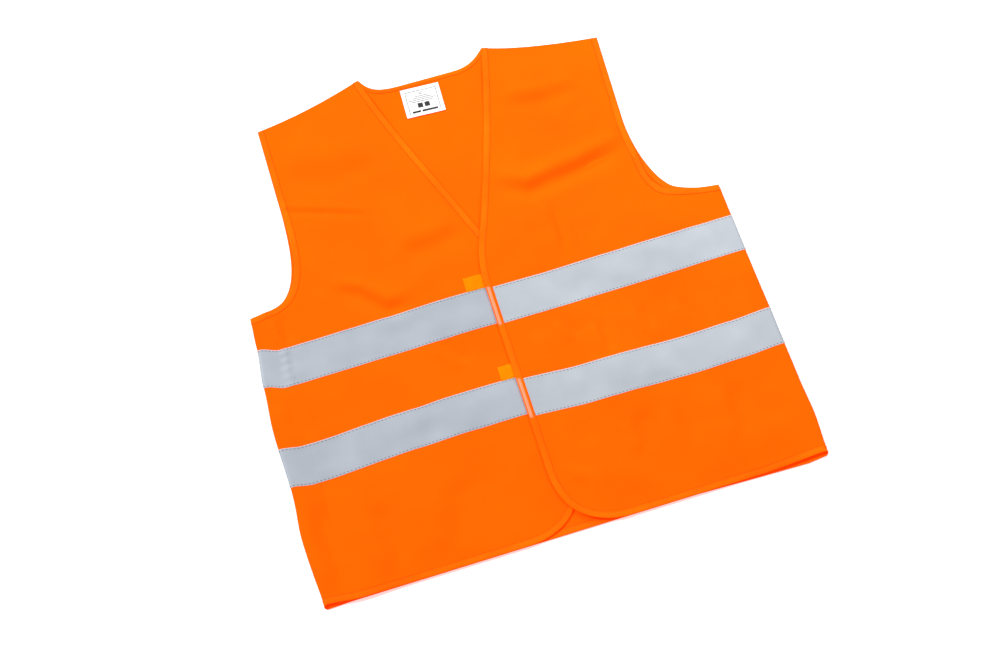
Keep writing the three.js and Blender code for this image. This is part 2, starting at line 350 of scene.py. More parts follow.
@dataclass(frozen=True)
class Ripples:
    """Gentle unevenness of a laid cloth, as many crossing waves."""

    seed: int
    height: float
    shortest: float
    longest: float
    count: int = 26

    def at(self, x: Points, y: Points) -> Points:
        """The height of the waves over a place.

        Args:
            x: The places' x.
            y: The places' y.

        Returns:
            The height at each place.
        """
        rng = np.random.default_rng(self.seed)
        total = np.zeros(np.shape(x))
        for _ in range(self.count):
            wave = rng.uniform(self.shortest, self.longest)
            turn, phase = rng.uniform(0, math.pi), rng.uniform(0, 2 * math.pi)
            along = (x * math.cos(turn) + y * math.sin(turn)) * 2 * math.pi / wave
            total += wave / self.longest * np.sin(along + phase)
        return total * self.height * math.sqrt(2 / self.count)


@dataclass(frozen=True)
class Crease:
    """A soft step in the cloth along a line, down towards the line's right, that fades out at both ends."""

    line: tuple[tuple[float, float], ...]
    width: float
    height: float

    def at(self, x: Points, y: Points) -> Points:
        """The crease's height over a place.

        Args:
            x: The places' x.
            y: The places' y.

        Returns:
            The height at each place.
        """
        line = spaced(np.array(self.line, float), 4)
        apart, along = nearest(line, x, y)
        run = lengths(line)
        step = np.gradient(line, axis=0)
        at_x, at_y = np.interp(along, run, line[:, 0]), np.interp(along, run, line[:, 1])
        step_x, step_y = np.interp(along, run, step[:, 0]), np.interp(along, run, step[:, 1])
        right = np.sign((x - at_x) * step_y - (y - at_y) * step_x) * apart / self.width
        fade = eased(along / (0.3 * run[-1])) * eased((run[-1] - along) / (0.3 * run[-1]))
        return -self.height * fade * right * np.exp((1 - right**2) / 2)


class Field:
    """A height over the plan, kept on a fine grid and read between its points."""

    STEP = 2.5
    LOW = np.array([-345.0, -30.0])
    HIGH = np.array([345.0, 690.0])

    def __init__(self, height: Height, blur: int = 2) -> None:
        """Samples a height function on the grid and smooths it.

        Args:
            height: The height over the plan.
            blur: How many times the grid is smoothed.
        """
        xs = np.arange(self.LOW[0], self.HIGH[0] + 1, self.STEP)
        ys = np.arange(self.LOW[1], self.HIGH[1] + 1, self.STEP)
        gx, gy = np.meshgrid(xs, ys, indexing="ij")
        z = height(gx.ravel(), gy.ravel()).reshape(gx.shape)
        for _ in range(blur):
            padded = np.pad(z, 1, mode="edge")
            across = padded[2:, 1:-1] + padded[:-2, 1:-1]
            along = padded[1:-1, 2:] + padded[1:-1, :-2]
            z = 0.5 * z + 0.125 * (across + along)
        self.z = z

    def at(self, x: Points, y: Points) -> Points:
        """The height over a place.

        Args:
            x: The places' x.
            y: The places' y.

        Returns:
            The height at each place.
        """
        u = np.clip((x - self.LOW[0]) / self.STEP, 0, self.z.shape[0] - 1.001)
        v = np.clip((y - self.LOW[1]) / self.STEP, 0, self.z.shape[1] - 1.001)
        i, j = u.astype(int), v.astype(int)
        a, b = u - i, v - j
        near = self.z[i, j] * (1 - a) + self.z[i + 1, j] * a
        far = self.z[i, j + 1] * (1 - a) + self.z[i + 1, j + 1] * a
        return near * (1 - b) + far * b


@dataclass(frozen=True)
class Lay:
    """The levels at which the panels lie over each other."""

    back: float = 1.0
    edge: float = 2.9
    inside: float = 6.0
    shoulder: float = 2.0
    mouth: float = 5.4
    over_right_front: float = 2.1
    patch_stack: float = 0.9
    rise: float = 55.0
    ridge: float = 0.9
    neck: float = 1.4
    crease: float = 2.6

    def back_height(self, x: Points, y: Points) -> Points:
        """The back panel's height.

        Args:
            x: The places' x.
            y: The places' y.

        Returns:
            The height at each place.
        """
        waves = Ripples(seed=11, height=0.16, shortest=70, longest=190).at(x, y)
        waves += Ripples(seed=12, height=0.05, shortest=24, longest=50).at(x, y)
        waves = np.maximum(waves, -0.25)
        for crease in BACK_CREASES:
            waves += crease.at(x, y)
        neck, _ = nearest(PLAN.back_neck[::4], x, y)
        return self.back + waves + 0.25 * bump(neck, 0, 16)

    def front_height(self, side: Side, x: Points, y: Points) -> Points:
        """One front's height as it would lie on the back alone.

        Args:
            side: The front's side.
            x: The places' x.
            y: The places' y.

        Returns:
            The height at each place.
        """
        edge, along = nearest(PLAN.front_edge[side][::3], x, y)
        arm, arm_along = nearest(PLAN.armhole_front[side][::4], x, y)
        shoulder, _ = nearest(PLAN.shoulder[side][::5], x, y)
        free = np.minimum(edge, arm)
        level = self.edge + (self.inside - self.edge) * eased(free / self.rise)
        level += self.neck * bump(along, 45, 40) * bump(edge, 0, 22)
        outward = eased((np.abs(x) - 200) / 100)
        level += (self.mouth - self.edge) * outward * (1 - eased(np.minimum(y, arm) / self.rise))
        level = self.shoulder + (level - self.shoulder) * eased(shoulder / 45)
        loose = eased(free / 50) * eased(shoulder / 60) * (1 - 0.7 * eased((np.abs(x) - 270) / 40))
        waves = Ripples(seed=20 + side.value, height=1.3, shortest=80, longest=240).at(x, y)
        waves += Ripples(seed=30 + side.value, height=0.32, shortest=26, longest=60).at(x, y)
        folds = np.zeros(np.shape(x))
        for crease in CREASES[side]:
            folds += self.crease * crease.at(x, y)
        pucker = 0.10 * np.sin(along / 11 * 2 * math.pi + 2 * np.sin(along / 37)) * bump(edge, 9, 8)
        pucker += 0.12 * np.sin(arm_along / 10 * 2 * math.pi + 2 * np.sin(arm_along / 29)) * bump(arm, 9, 9)
        held = eased(free / 7) * eased(shoulder / 30)
        return level + loose * waves + held * folds + pucker

    def right_height(self, x: Points, y: Points) -> Points:
        """The right front's height, with its side seam."""
        return self.front_height(Side.RIGHT, x, y) + self.seam_ridge(x, y)

    def left_height(self, x: Points, y: Points) -> Points:
        """The left front's height, lifted where it lies over the right one.

        Args:
            x: The places' x.
            y: The places' y.

        Returns:
            The height at each place.
        """
        alone = self.front_height(Side.LEFT, x, y)
        under = self.front_height(Side.RIGHT, np.minimum(x, OVERLAP - 3), y) + self.over_right_front
        for level in Level:
            middle = TAPE_BASE[level] + TAPE_WIDTH + 10
            under += self.patch_stack * bump(y, middle, 16) * bump(x, 0, 36)
        share = (1 - eased((x - OVERLAP) / 60)) * (1 - eased((y - 400) / 90))
        return alone + np.maximum(under - alone, 0) * share

    def seam_ridge(self, x: Points, y: Points) -> Points:
        """The ridge of the right side seam's allowance, sharp at the seam, with puckers on it.

        Args:
            x: The places' x.
            y: The places' y.

        Returns:
            The height at each place.
        """
        bend = np.array(SEAM_BEND)
        apart = x - np.interp(y, bend[:, 1], bend[:, 0])
        pucker = 0.4 * np.sin(y / 9.5 * 2 * math.pi + 2.5 * np.sin(y / 31)) * bump(apart, -5, 7)
        below = (y < UNDERARM + 15).astype(float)
        depth = between(((262, 0), (285, 1.3), (330, 1.5), (385, 1.2)), y)
        ridge = eased((apart + 13) / 11) * eased((2.5 - apart) / 4)
        return below * depth * (pucker + self.ridge * ridge)


CREASES = {
    Side.RIGHT: (
        Crease(((-258, 519), (-222, 506), (-169, 487), (-117, 467)), 3, 0.7),
        Crease(((-115, 413), (-67, 412), (-16, 420)), 12, 1.0),
        Crease(((-212, 392), (-170, 373), (-140, 342), (-101, 342)), 8, 1.1),
        Crease(((-227, 570), (-171, 548), (-94, 549)), 18, 1.0),
        Crease(((-68, 234), (-98, 276)), 7, 0.6),
        Crease(((-289, 5), (-295, 70), (-300, 130)), 12, 1.1),
        Crease(((-218, 12), (-224, 47), (-237, 102)), 10, 0.8),
        Crease(((-151, 16), (-140, 106)), 14, 0.7),
        Crease(((-279, 193), (-290, 231), (-294, 264)), 9, 0.8),
        Crease(((-277, 327), (-283, 370)), 7, 0.7),
    ),
    Side.LEFT: (
        Crease(((20, 476), (77, 447), (154, 459), (232, 478)), 10, 1.5),
        Crease(((218, 446), (207, 495)), 6, 0.6),
        Crease(((92, 338), (94, 401), (82, 432)), 5, 0.6),
        Crease(((26, 340), (9, 384)), 7, 0.9),
        Crease(((74, 578), (125, 567), (191, 570)), 10, 0.7),
        Crease(((73, 227), (55, 265)), 6, 0.6),
        Crease(((103, 199), (101, 246)), 6, 0.6),
        Crease(((162, 208), (154, 248)), 6, 0.5),
        Crease(((220, 209), (205, 241)), 6, 0.5),
        Crease(((35, 51), (13, 84), (3, 131)), 9, 0.8),
        Crease(((108, 63), (101, 118)), 10, 0.7),
        Crease(((161, 47), (153, 120)), 10, 0.6),
        Crease(((225, 44), (224, 125)), 10, 0.7),
    ),
}
BACK_CREASES = (
    Crease(((-7, 479), (-10, 520), (-17, 553)), 5, 0.3),
    Crease(((3, 466), (14, 518), (20, 567)), 5, 0.3),
)


def settled(points: Points) -> Points:
    """Shifts points a little sideways, as cloth lies that nobody has pulled straight.

    Args:
        points: Points of the plan with their heights.

    Returns:
        The shifted points.
    """
    x, y, z = points.T
    knots = {
        Side.RIGHT: ((0, -1), (90, -4.4), (150, -2.4), (220, -4.6), (285, -1.5), (335, 3), (375, 4.5)),
        Side.LEFT: ((0, 2.5), (50, 4.3), (100, 2.8), (180, 1.3), (280, -0.2), (375, -1)),
    }
    for side, table in knots.items():
        x = x + between(table, y) * eased((x * side.value - 200) / 110)
    return np.stack([x, y, z], axis=1)


class Panel:
    """One cloth panel: a flat pattern with coordinates (s, y), and the map that lays it on the vest.

    Inside the side folds s is the plan's x. Past one of them the pattern runs on round the fold and back over
    the other layer.
    """

    def __init__(self, main: Field, other: Field, turn: int, facing: int) -> None:
        """Takes the heights of the panel's own layer and of the other one.

        Args:
            main: Heights of the layer where most of the panel lies.
            other: Heights of the layer that it reaches round a fold.
            turn: The side that it goes round, as a sign of x, or 0.
            facing: 1 if the vest's outside is up there, and -1 if it is down.
        """
        self.main, self.other, self.turn, self.facing = main, other, turn, facing

    def past_fold(self, x: float) -> float:
        """The pattern's s of a place on the other layer at a plan x."""
        return self.turn * (2 * FOLD_START + FOLD_LENGTH - abs(x))

    def fold_columns(self) -> Points:
        """The pattern's s of fine columns round the fold, if the panel has one."""
        steps = np.linspace(-0.1, 1.1, 13) if self.turn else np.zeros(0)
        return self.turn * (FOLD_START + FOLD_LENGTH * steps)

    def surface(self, s: Points, y: Points) -> Points:
        """The middle of the cloth's thickness at a pattern place.

        Args:
            s: Places along the pattern's width.
            y: Places along its length.

        Returns:
            The points, in millimetres of the plan.
        """
        flat = np.stack([s, y, self.main.at(s, y)], axis=1)
        if not self.turn:
            return settled(flat)
        run = self.turn * s - FOLD_START
        angle = np.clip(run / FOLD_LENGTH, 0, 1) * math.pi
        fold_x = np.full(len(s), self.turn * FOLD_START)
        own, far = self.main.at(fold_x, y), self.other.at(fold_x, y)
        past = np.maximum(run - FOLD_LENGTH, 0)
        round_x = self.turn * (FOLD_START + np.abs(own - far) / 2 * np.sin(angle) - past)
        round_z = (own + far) / 2 + (own - far) / 2 * np.cos(angle)
        over_z = self.other.at(round_x, y)
        z = np.where(run > FOLD_LENGTH, over_z, round_z)
        round_points = np.stack([round_x, y, z], axis=1)
        return settled(np.where((run > 0)[:, None], round_points, flat))

    def place(self, s: Points, y: Points, lift: Points | float) -> Points:
        """Lays pattern places down, lifted off the cloth's middle towards the vest's outside.

        Args:
            s: Places along the pattern's width.
            y: Places along its length.
            lift: How far out of the cloth's middle; a negative lift is on the inside.

        Returns:
            Points of the plan with their heights.
        """
        step = 0.8
        across = self.surface(s + step, y) - self.surface(s - step, y)
        along = self.surface(s, y + step) - self.surface(s, y - step)
        out = np.cross(across, along) * self.facing
        out /= np.linalg.norm(out, axis=1)[:, None]
        return self.surface(s, y) + out * np.broadcast_to(lift, np.shape(s))[:, None]


# ---- Meshes ----


def to_frame(points: Points) -> Points:
    """Plan millimetres as metres of the frame."""
    return (points + (0, HEM_Y, 0)) * MM


def new_piece(
    name: str, points: Points, faces: Sequence, material: Material, uv: Points | None = None,
) -> Piece:
    """Makes a mesh object of plan points.

    Args:
        name: The piece's name.
        points: Its vertices, on the plan in millimetres.
        faces: Its faces, as lists of vertex numbers.
        material: Its finish.
        uv: A pattern place in millimetres for each vertex, kept in metres as the UV map.

    Returns:
        The object, at the origin.
    """
    mesh = bpy.data.meshes.new(name)
    mesh.from_pydata(to_frame(points).tolist(), [], [list(map(int, f)) for f in faces])
    mesh.polygons.foreach_set("use_smooth", np.ones(len(mesh.polygons), bool))
    if uv is not None:
        corners = np.zeros(len(mesh.loops), np.int32)
        mesh.loops.foreach_get("vertex_index", corners)
        layer = mesh.uv_layers.new(name="pattern")
        layer.data.foreach_set("uv", (uv[corners] * MM).astype(np.float32).ravel())
    mesh.materials.append(material)
    mesh.update()
    piece = bpy.data.objects.new(name, mesh)
    bpy.context.scene.collection.objects.link(piece)
    return piece


def thicken(piece: Piece, thickness: float) -> None:
    """Gives a surface its cloth's thickness, half to each side, and keeps its shading flat up to the edge.

    Args:
        piece: The surface.
        thickness: The cloth's thickness.
    """
    solid = piece.modifiers.new("thickness", "SOLIDIFY")
    solid.thickness = thickness * MM
    solid.offset = 0
    piece.modifiers.new("normals", "WEIGHTED_NORMAL").weight = 90


def pairs(first: Points, second: Points) -> Points:
    """Every pair of two lists of numbers, the second running fastest."""
    one, two = np.meshgrid(first, second, indexing="ij")
    return np.stack([one.ravel(), two.ravel()], axis=1)


def vertices(mesh: Mesh) -> Points:
    """A mesh's vertex positions.

    Args:
        mesh: The mesh.

    Returns:
        Its positions, one a row.
    """
    flat = np.zeros(len(mesh.vertices) * 3, np.float32)
    mesh.vertices.foreach_get("co", flat)
    return flat.reshape(-1, 3).astype(float)


def grid_faces(rows: int, columns: int, flip: bool) -> list[tuple[int, int, int, int]]:
    """The quads of a grid of vertices, counted row by row.

    Args:
        rows: The number of rows of vertices.
        columns: The number of vertices in a row.
        flip: Whether the quads face the other way.

    Returns:
        Each quad's vertex numbers.
    """
    quads = []
    for i in range(rows - 1):
        for j in range(columns - 1):
            a = i * columns + j
            quad = (a, a + columns, a + columns + 1, a + 1)
            quads.append(quad[::-1] if flip else quad)
    return quads


def inside(outline: Points, points: Points) -> Points:
    """Which points lie inside a closed outline.

    Args:
        outline: The closed outline's points.
        points: The points to test.

    Returns:
        True for each point that is inside.
    """
    x, y = points.T
    hits = np.zeros(len(points), bool)
    for (x0, y0), (x1, y1) in zip(outline, np.roll(outline, -1, axis=0)):
        crosses = (y0 > y) != (y1 > y)
        if y1 != y0:
            hits ^= crosses & (x < x0 + (y - y0) / (y1 - y0) * (x1 - x0))
    return hits


def honeycomb(low: Points, high: Points, step: float) -> Points:
    """Points of a triangular net over a rectangle.

    Args:
        low: The rectangle's lower left corner.
        high: Its upper right corner.
        step: The distance between neighbours in a row.

    Returns:
        The net's points.
    """
    rows = np.arange(low[1], high[1], step * math.sqrt(3) / 2)
    across = np.arange(low[0], high[0], step)
    gx, gy = np.meshgrid(across, rows)
    gx = gx + (np.arange(len(rows)) % 2)[:, None] * step / 2
    return np.stack([gx.ravel(), gy.ravel()], axis=1)


def filled(
    outline: Points, step: float, columns: Points, fine: Callable[[Points], Points] | None,
) -> tuple[Points, list]:
    """Fills an outline with an even net of triangles.

    Args:
        outline: The closed outline's points.
        step: The spacing of the net.
        columns: Places along x where the net gets finer columns instead.
        fine: Tells of every point whether it lies where the net is twice as fine.

    Returns:
        The net's points and its triangles, anticlockwise.
    """
    low, high = outline.min(axis=0), outline.max(axis=0)
    points = honeycomb(low, high, step)
    if fine is not None:
        dense = honeycomb(low, high, step / 2)
        points = np.vstack([points[~fine(points)], dense[fine(dense)]])
    if len(columns):
        points = points[(points[:, 0] < columns.min() - step / 2) | (points[:, 0] > columns.max() + step / 2)]
        points = np.vstack([points, pairs(columns, np.arange(low[1], high[1], 0.6 * step))])
    points = points[inside(outline, points)]
    apart, _ = nearest(np.vstack([outline, outline[:1]]), points[:, 0], points[:, 1])
    points = points[apart > 0.55 * step]
    every = np.vstack([outline, points])
    loop = [list(range(len(outline)))]
    verts, _, faces, *_ = delaunay_2d_cdt([Vector(p) for p in every], [], loop, 1, 1e-4)
    flat = np.array([tuple(v) for v in verts])
    turned = []
    for a, b, c in faces:
        area = np.cross(flat[b] - flat[a], flat[c] - flat[a])
        turned.append((a, b, c) if area > 0 else (a, c, b))
    return flat, turned


def cloth(
    name: str, panel: Panel, outline: Points, material: Material,
    fine: Callable[[Points], Points] | None = None,
) -> Piece:
    """The panel's cloth, laid down from its pattern outline.

    Args:
        name: The piece's name.
        panel: The panel it is.
        outline: Its closed pattern outline.
        material: Its finish.
        fine: Tells of every point whether it lies where the net is twice as fine.

    Returns:
        The cloth's piece.
    """
    flat, faces = filled(outline, step=NET_STEP, columns=panel.fold_columns(), fine=fine)
    if panel.facing < 0:
        faces = [f[::-1] for f in faces]
    piece = new_piece(name, panel.place(flat[:, 0], flat[:, 1], 0.0), faces, material, uv=flat)
    thicken(piece, CLOTH)
    return piece


@dataclass(frozen=True)
class Band:
    """A strip of tape across a panel's pattern."""

    start: float
    end: float
    low: Callable[[Points], Points]
    width: float

    RIM = 0.6
    INNER = 1.8

    def make(self, name: str, panel: Panel, lift: float, thickness: float, material: Material) -> Piece:
        """The strip's mesh, lying on the panel.

        Args:
            name: The piece's name.
            panel: The panel it is sewn to.
            lift: The height of its middle above the cloth's middle.
            thickness: Its own thickness.
            material: Its finish.

        Returns:
            The strip as an object.
        """
        s = np.linspace(self.start, self.end, max(3, round(abs(self.end - self.start) / 1.6)))
        rims = (0, self.RIM, self.width - self.RIM, self.width)
        across = np.sort(np.concatenate([rims, np.linspace(self.INNER, self.width - self.INNER, 19)]))
        flat = pairs(s, across)
        points = panel.place(flat[:, 0], self.low(flat[:, 0]) + flat[:, 1], lift)
        flip = (panel.facing < 0) != (self.end < self.start)
        piece = new_piece(name, points, grid_faces(len(s), len(across), flip), material, flat)
        thicken(piece, thickness)
        return piece


@dataclass(frozen=True)
class Binding:
    """A folded binding that wraps one edge of a panel."""

    line: Points
    hand: int
    width: float = BINDING_WIDTH
    seed: int = 1
    over_tape: Height | None = None

    STITCH_FROM_EDGE = 1.7
    STITCH_LIFT = 0.42
    RING_STEP = 2.6
    PUFFS = ((0.10, 6.5), (0.08, 2.9), (0.06, 17.0))

    def section(self) -> Points:
        """The binding's section, from its outside leg round the edge to its inside leg.

        Returns:
            The section's points as (distance inward from the edge, lift).
        """
        w = self.width
        leg = [
            (w, 0.30), (w - 0.3, 0.44), (w - 0.9, 0.48), (w - self.STITCH_FROM_EDGE, 0.28), (w - 2.5, 0.44),
            (0.62 * w, 0.50), (0.45 * w, 0.54), (0.28 * w, 0.56), (0.14 * w, 0.54), (0.03 * w, 0.44),
            (-0.38, 0.25), (-0.5, 0.0),
        ]
        return np.array(leg + [(d, -h) for d, h in reversed(leg[:-1])])

    def make(self, name: str, panel: Panel, material: Material) -> Piece:
        """The binding's mesh, swept along its edge.

        Args:
            name: The piece's name.
            panel: The panel whose edge it wraps.
            material: Its finish.

        Returns:
            The binding's piece.
        """
        line = spaced(self.line, self.RING_STEP)
        section = self.section()
        run = lengths(line)
        rng = np.random.default_rng(self.seed)
        phase = rng.uniform(0, 6, 3)
        puff = sum(height * np.sin(run / wave + start) for (height, wave), start in zip(self.PUFFS, phase))
        rings = []
        for inward, lift in section:
            ring = moved_inward(line, inward, self.hand)
            soft = bump(inward, 0.35 * self.width, 0.3 * self.width) * np.sign(lift)
            raised = lift + puff * soft
            if self.over_tape is not None and lift > 0 and inward > 0:
                raised = raised + TAPE_CLOTH * self.over_tape(ring[:, 0], ring[:, 1])
            rings.append(panel.place(ring[:, 0], ring[:, 1], raised))
        points = np.stack(rings, axis=1).reshape(-1, 3)
        faces = grid_faces(len(line), len(section), panel.facing * self.hand > 0)
        piece = new_piece(name, points, faces, material, pairs(run, lengths(section)))
        inward = np.tile(section[:, 0], len(line))
        # Painted shade: a dark line along the stitch groove, and a darker one along the binding's inner edge
        # where it meets the cloth.
        stitch_shade = 0.3 * bump(inward, self.width - self.STITCH_FROM_EDGE, 0.5)
        edge_shade = 0.95 * bump(inward, self.width, 0.4)
        sunken = piece.data.attributes.new("sunken", "FLOAT", "POINT")
        sunken.data.foreach_set("value", np.clip(stitch_shade + edge_shade, 0, 1).astype(np.float32))
        thicken(piece, BINDING_CLOTH)
        return piece

    def stitch_rows(self) -> list[tuple[Points, float]]:
        """The pattern line of the binding's stitches with its lift, outside and inside."""
        line = moved_inward(spaced(self.line, 3), self.width - self.STITCH_FROM_EDGE, self.hand)
        return [(line, self.STITCH_LIFT), (line, -self.STITCH_LIFT)]


# ---- Repeats, made by node trees ----


class NodeTree:
    """A small helper that adds and links nodes by name."""

    def __init__(self, tree: Group) -> None:
        """Keeps the tree that it fills."""
        self.tree = tree

    def add(self, kind: str, inputs: dict | None = None, **settings: object) -> Node:
        """Adds a node.

        Args:
            kind: The node's Blender type.
            inputs: Values for its inputs, by name or number; an output socket is linked instead.
            settings: The node's own properties.

        Returns:
            The node.
        """
        node = self.tree.nodes.new(kind)
        for key, value in settings.items():
            setattr(node, key, value)
        for key, value in (inputs or {}).items():
            socket = node.inputs[key]
            if isinstance(value, Socket):
                self.tree.links.new(value, socket)
            else:
                socket.default_value = value
        return node

    def math(self, operation: str, *values: float | Socket) -> Socket:
        """The result of a Math node."""
        return self.add("ShaderNodeMath", dict(enumerate(values)), operation=operation).outputs[0]


def geometry_tree(name: str, inputs: Sequence[tuple]) -> tuple[NodeTree, Node]:
    """Starts a geometry node tree.

    Args:
        name: The tree's name.
        inputs: The name, socket type and default of each named input.

    Returns:
        The tree's helper and its group input node.
    """
    group = bpy.data.node_groups.new(name, "GeometryNodeTree")
    group.interface.new_socket("Geometry", in_out="INPUT", socket_type="NodeSocketGeometry")
    for label, kind, default in inputs:
        socket = group.interface.new_socket(label, in_out="INPUT", socket_type=kind)
        if default is not None:
            socket.default_value = default
    group.interface.new_socket("Geometry", in_out="OUTPUT", socket_type="NodeSocketGeometry")
    tree = NodeTree(group)
    return tree, tree.add("NodeGroupInput")


def finish_tree(tree: NodeTree, instances: Socket, material: Socket) -> None:
    """Ends a tree: real geometry, smooth, with its material.

    Args:
        tree: The tree.
        instances: The instances to make real.
        material: The material to give them.
    """
    real = tree.add("GeometryNodeRealizeInstances", {"Geometry": instances})
    smooth = tree.add("GeometryNodeSetShadeSmooth", {"Geometry": real.outputs[0]})
    dressed = tree.add("GeometryNodeSetMaterial", {"Geometry": smooth.outputs[0], "Material": material})
    tree.add("NodeGroupOutput", {"Geometry": dressed.outputs[0]})


def stitch_tree() -> Group:
    """The tree that sets a stitch at every step along each edge line of a flat mesh.

    Returns:
        The finished tree.
    """
    tree, given = geometry_tree("stitch_rows", [
        ("Spacing", "NodeSocketFloat", 3.0), ("Length", "NodeSocketFloat", 2.2),
        ("Width", "NodeSocketFloat", 0.45), ("Wander", "NodeSocketFloat", 0.06),
        ("Seed", "NodeSocketInt", 1), ("Material", "NodeSocketMaterial", None),
    ])
    out = given.outputs
    curve = tree.add("GeometryNodeMeshToCurve", {"Mesh": out["Geometry"]})
    steps = tree.add(
        "GeometryNodeResampleCurve", {"Curve": curve.outputs[0], "Length": out["Spacing"]}, mode="LENGTH",
    )
    tangent = tree.add("GeometryNodeInputTangent")
    turn = tree.add("FunctionNodeAlignRotationToVector", {"Vector": tangent.outputs[0]}, axis="X")
    low = tree.math("MULTIPLY", out["Wander"], -1.0)
    jitter = tree.add("FunctionNodeRandomValue", {"Seed": out["Seed"]}, data_type="FLOAT")
    tree.tree.links.new(low, jitter.inputs[2])
    tree.tree.links.new(out["Wander"], jitter.inputs[3])
    twist = tree.add("ShaderNodeCombineXYZ", {"Z": jitter.outputs[1]})
    turned = tree.add("FunctionNodeRotateRotation", {"Rotation": turn.outputs[0]}, rotation_space="LOCAL")
    spin = tree.add("FunctionNodeEulerToRotation", {0: twist.outputs[0]})
    tree.tree.links.new(spin.outputs[0], turned.inputs[1])
    ball = tree.add("GeometryNodeMeshUVSphere", {"Segments": 8, "Rings": 5, "Radius": 0.5})
    size = tree.add("ShaderNodeCombineXYZ", {"X": out["Length"], "Y": out["Width"], "Z": out["Width"]})
    thread = tree.add("GeometryNodeTransform", {"Geometry": ball.outputs[0], "Scale": size.outputs[0]})
    placed = tree.add("GeometryNodeInstanceOnPoints", {
        "Points": steps.outputs[0], "Instance": thread.outputs[0], "Rotation": turned.outputs[0],
    })
    finish_tree(tree, placed.outputs[0], out["Material"])
    return tree.tree


def pile_tree() -> Group:
    """The tree that sets a small thread arch, a loop or a hook, at every point of a flat mesh.

    Returns:
        The finished tree.
    """
    tree, given = geometry_tree("pile", [
        ("Height", "NodeSocketFloat", 0.9), ("Thread", "NodeSocketFloat", 0.1),
        ("Sweep", "NodeSocketFloat", math.pi), ("Turning", "NodeSocketFloat", 3.1),
        ("Uneven", "NodeSocketFloat", 0.3), ("Seed", "NodeSocketInt", 1),
        ("Material", "NodeSocketMaterial", None),
    ])
    out = given.outputs
    arc = tree.add("GeometryNodeCurveArc", {
        "Resolution": 6, "Radius": out["Height"], "Sweep Angle": out["Sweep"],
    })
    ring = tree.add("GeometryNodeCurvePrimitiveCircle", {"Resolution": 3, "Radius": out["Thread"]})
    tube = tree.add("GeometryNodeCurveToMesh", {"Curve": arc.outputs[0], "Profile Curve": ring.outputs[0]})
    upright = tree.add("GeometryNodeTransform", {
        "Geometry": tube.outputs[0], "Rotation": (math.pi / 2, 0, 0),
    })
    low = tree.math("MULTIPLY", out["Turning"], -1.0)
    spin = tree.add("FunctionNodeRandomValue", {"Seed": out["Seed"]}, data_type="FLOAT")
    tree.tree.links.new(low, spin.inputs[2])
    tree.tree.links.new(out["Turning"], spin.inputs[3])
    turn = tree.add("ShaderNodeCombineXYZ", {"Z": spin.outputs[1]})
    least = tree.math("SUBTRACT", 1.0, out["Uneven"])
    other_seed = tree.math("ADD", out["Seed"], 7.0)
    size = tree.add("FunctionNodeRandomValue", {"Seed": other_seed}, data_type="FLOAT")
    tree.tree.links.new(least, size.inputs[2])
    size.inputs[3].default_value = 1.0
    placed = tree.add("GeometryNodeInstanceOnPoints", {
        "Points": out["Geometry"], "Instance": upright.outputs[0], "Rotation": turn.outputs[0],
        "Scale": size.outputs[1],
    })
    finish_tree(tree, placed.outputs[0], out["Material"])
    return tree.tree


def grown(tree: Group, points: Points, edges: list, values: dict) -> Mesh:
    """Runs a node tree on a flat mesh and returns the plain mesh that it makes.

    Args:
        tree: The geometry node tree.
        points: The flat mesh's vertices.
        edges: Its edges.
        values: A value for each named input.

    Returns:
        The finished mesh, in the same units as the points.
    """
    seed_mesh = bpy.data.meshes.new("flat")
    seed_mesh.from_pydata(points.tolist(), edges, [])
    holder = bpy.data.objects.new("flat", seed_mesh)
    bpy.context.scene.collection.objects.link(holder)
    modifier = holder.modifiers.new("nodes", "NODES")
    modifier.node_group = tree
    sockets = {i.name: i.identifier for i in tree.interface.items_tree if i.in_out == "INPUT"}
    for name, value in values.items():
        modifier[sockets[name]] = value
    graph = bpy.context.evaluated_depsgraph_get()
    mesh = bpy.data.meshes.new_from_object(holder.evaluated_get(graph), depsgraph=graph)
    bpy.data.objects.remove(holder)
    return mesh


def laid(name: str, panel: Panel, mesh: Mesh) -> Piece:
    """Lays a flat mesh on a panel: its x and y are the pattern place, and its z is the lift.

    Args:
        name: The piece's name.
        panel: The panel it lies on.
        mesh: The flat mesh, which is moved.

    Returns:
        The laid piece.
    """
    flat = vertices(mesh)
    points = to_frame(panel.place(flat[:, 0], flat[:, 1], flat[:, 2]))
    mesh.vertices.foreach_set("co", points.astype(np.float32).ravel())
    if panel.facing < 0:
        mesh.flip_normals()
    mesh.update()
    mesh.name = name
    piece = bpy.data.objects.new(name, mesh)
    bpy.context.scene.collection.objects.link(piece)
    return piece


@dataclass(frozen=True)
class Stitching:
    """Rows of one thread, all on one panel."""

    spacing: float = 3.0
    length: float = 2.1
    width: float = 0.42
    wander: float = 0.08
    seed: int = 5

    def make(
        self, name: str, panel: Panel, rows: Sequence[tuple[Points, float]], material: Material,
    ) -> Piece:
        """Sews the rows.

        Args:
            name: The piece's name.
            panel: The panel sewn through.
            rows: Each row's pattern line and its lift.
            material: The thread.

        Returns:
            All the stitches as one object.
        """
        points, edges = [], []
        for line, lift in rows:
            first = sum(len(p) for p in points)
            dense = spaced(line, 1.5)
            points.append(np.column_stack([dense, np.full(len(dense), lift)]))
            edges += [(first + i, first + i + 1) for i in range(len(dense) - 1)]
        values = {
            "Spacing": self.spacing, "Length": self.length, "Width": self.width, "Wander": self.wander,
            "Seed": self.seed, "Material": material,
        }
        return laid(name, panel, grown(TREES["stitches"], np.concatenate(points), edges, values))


# ---- Finishes ----


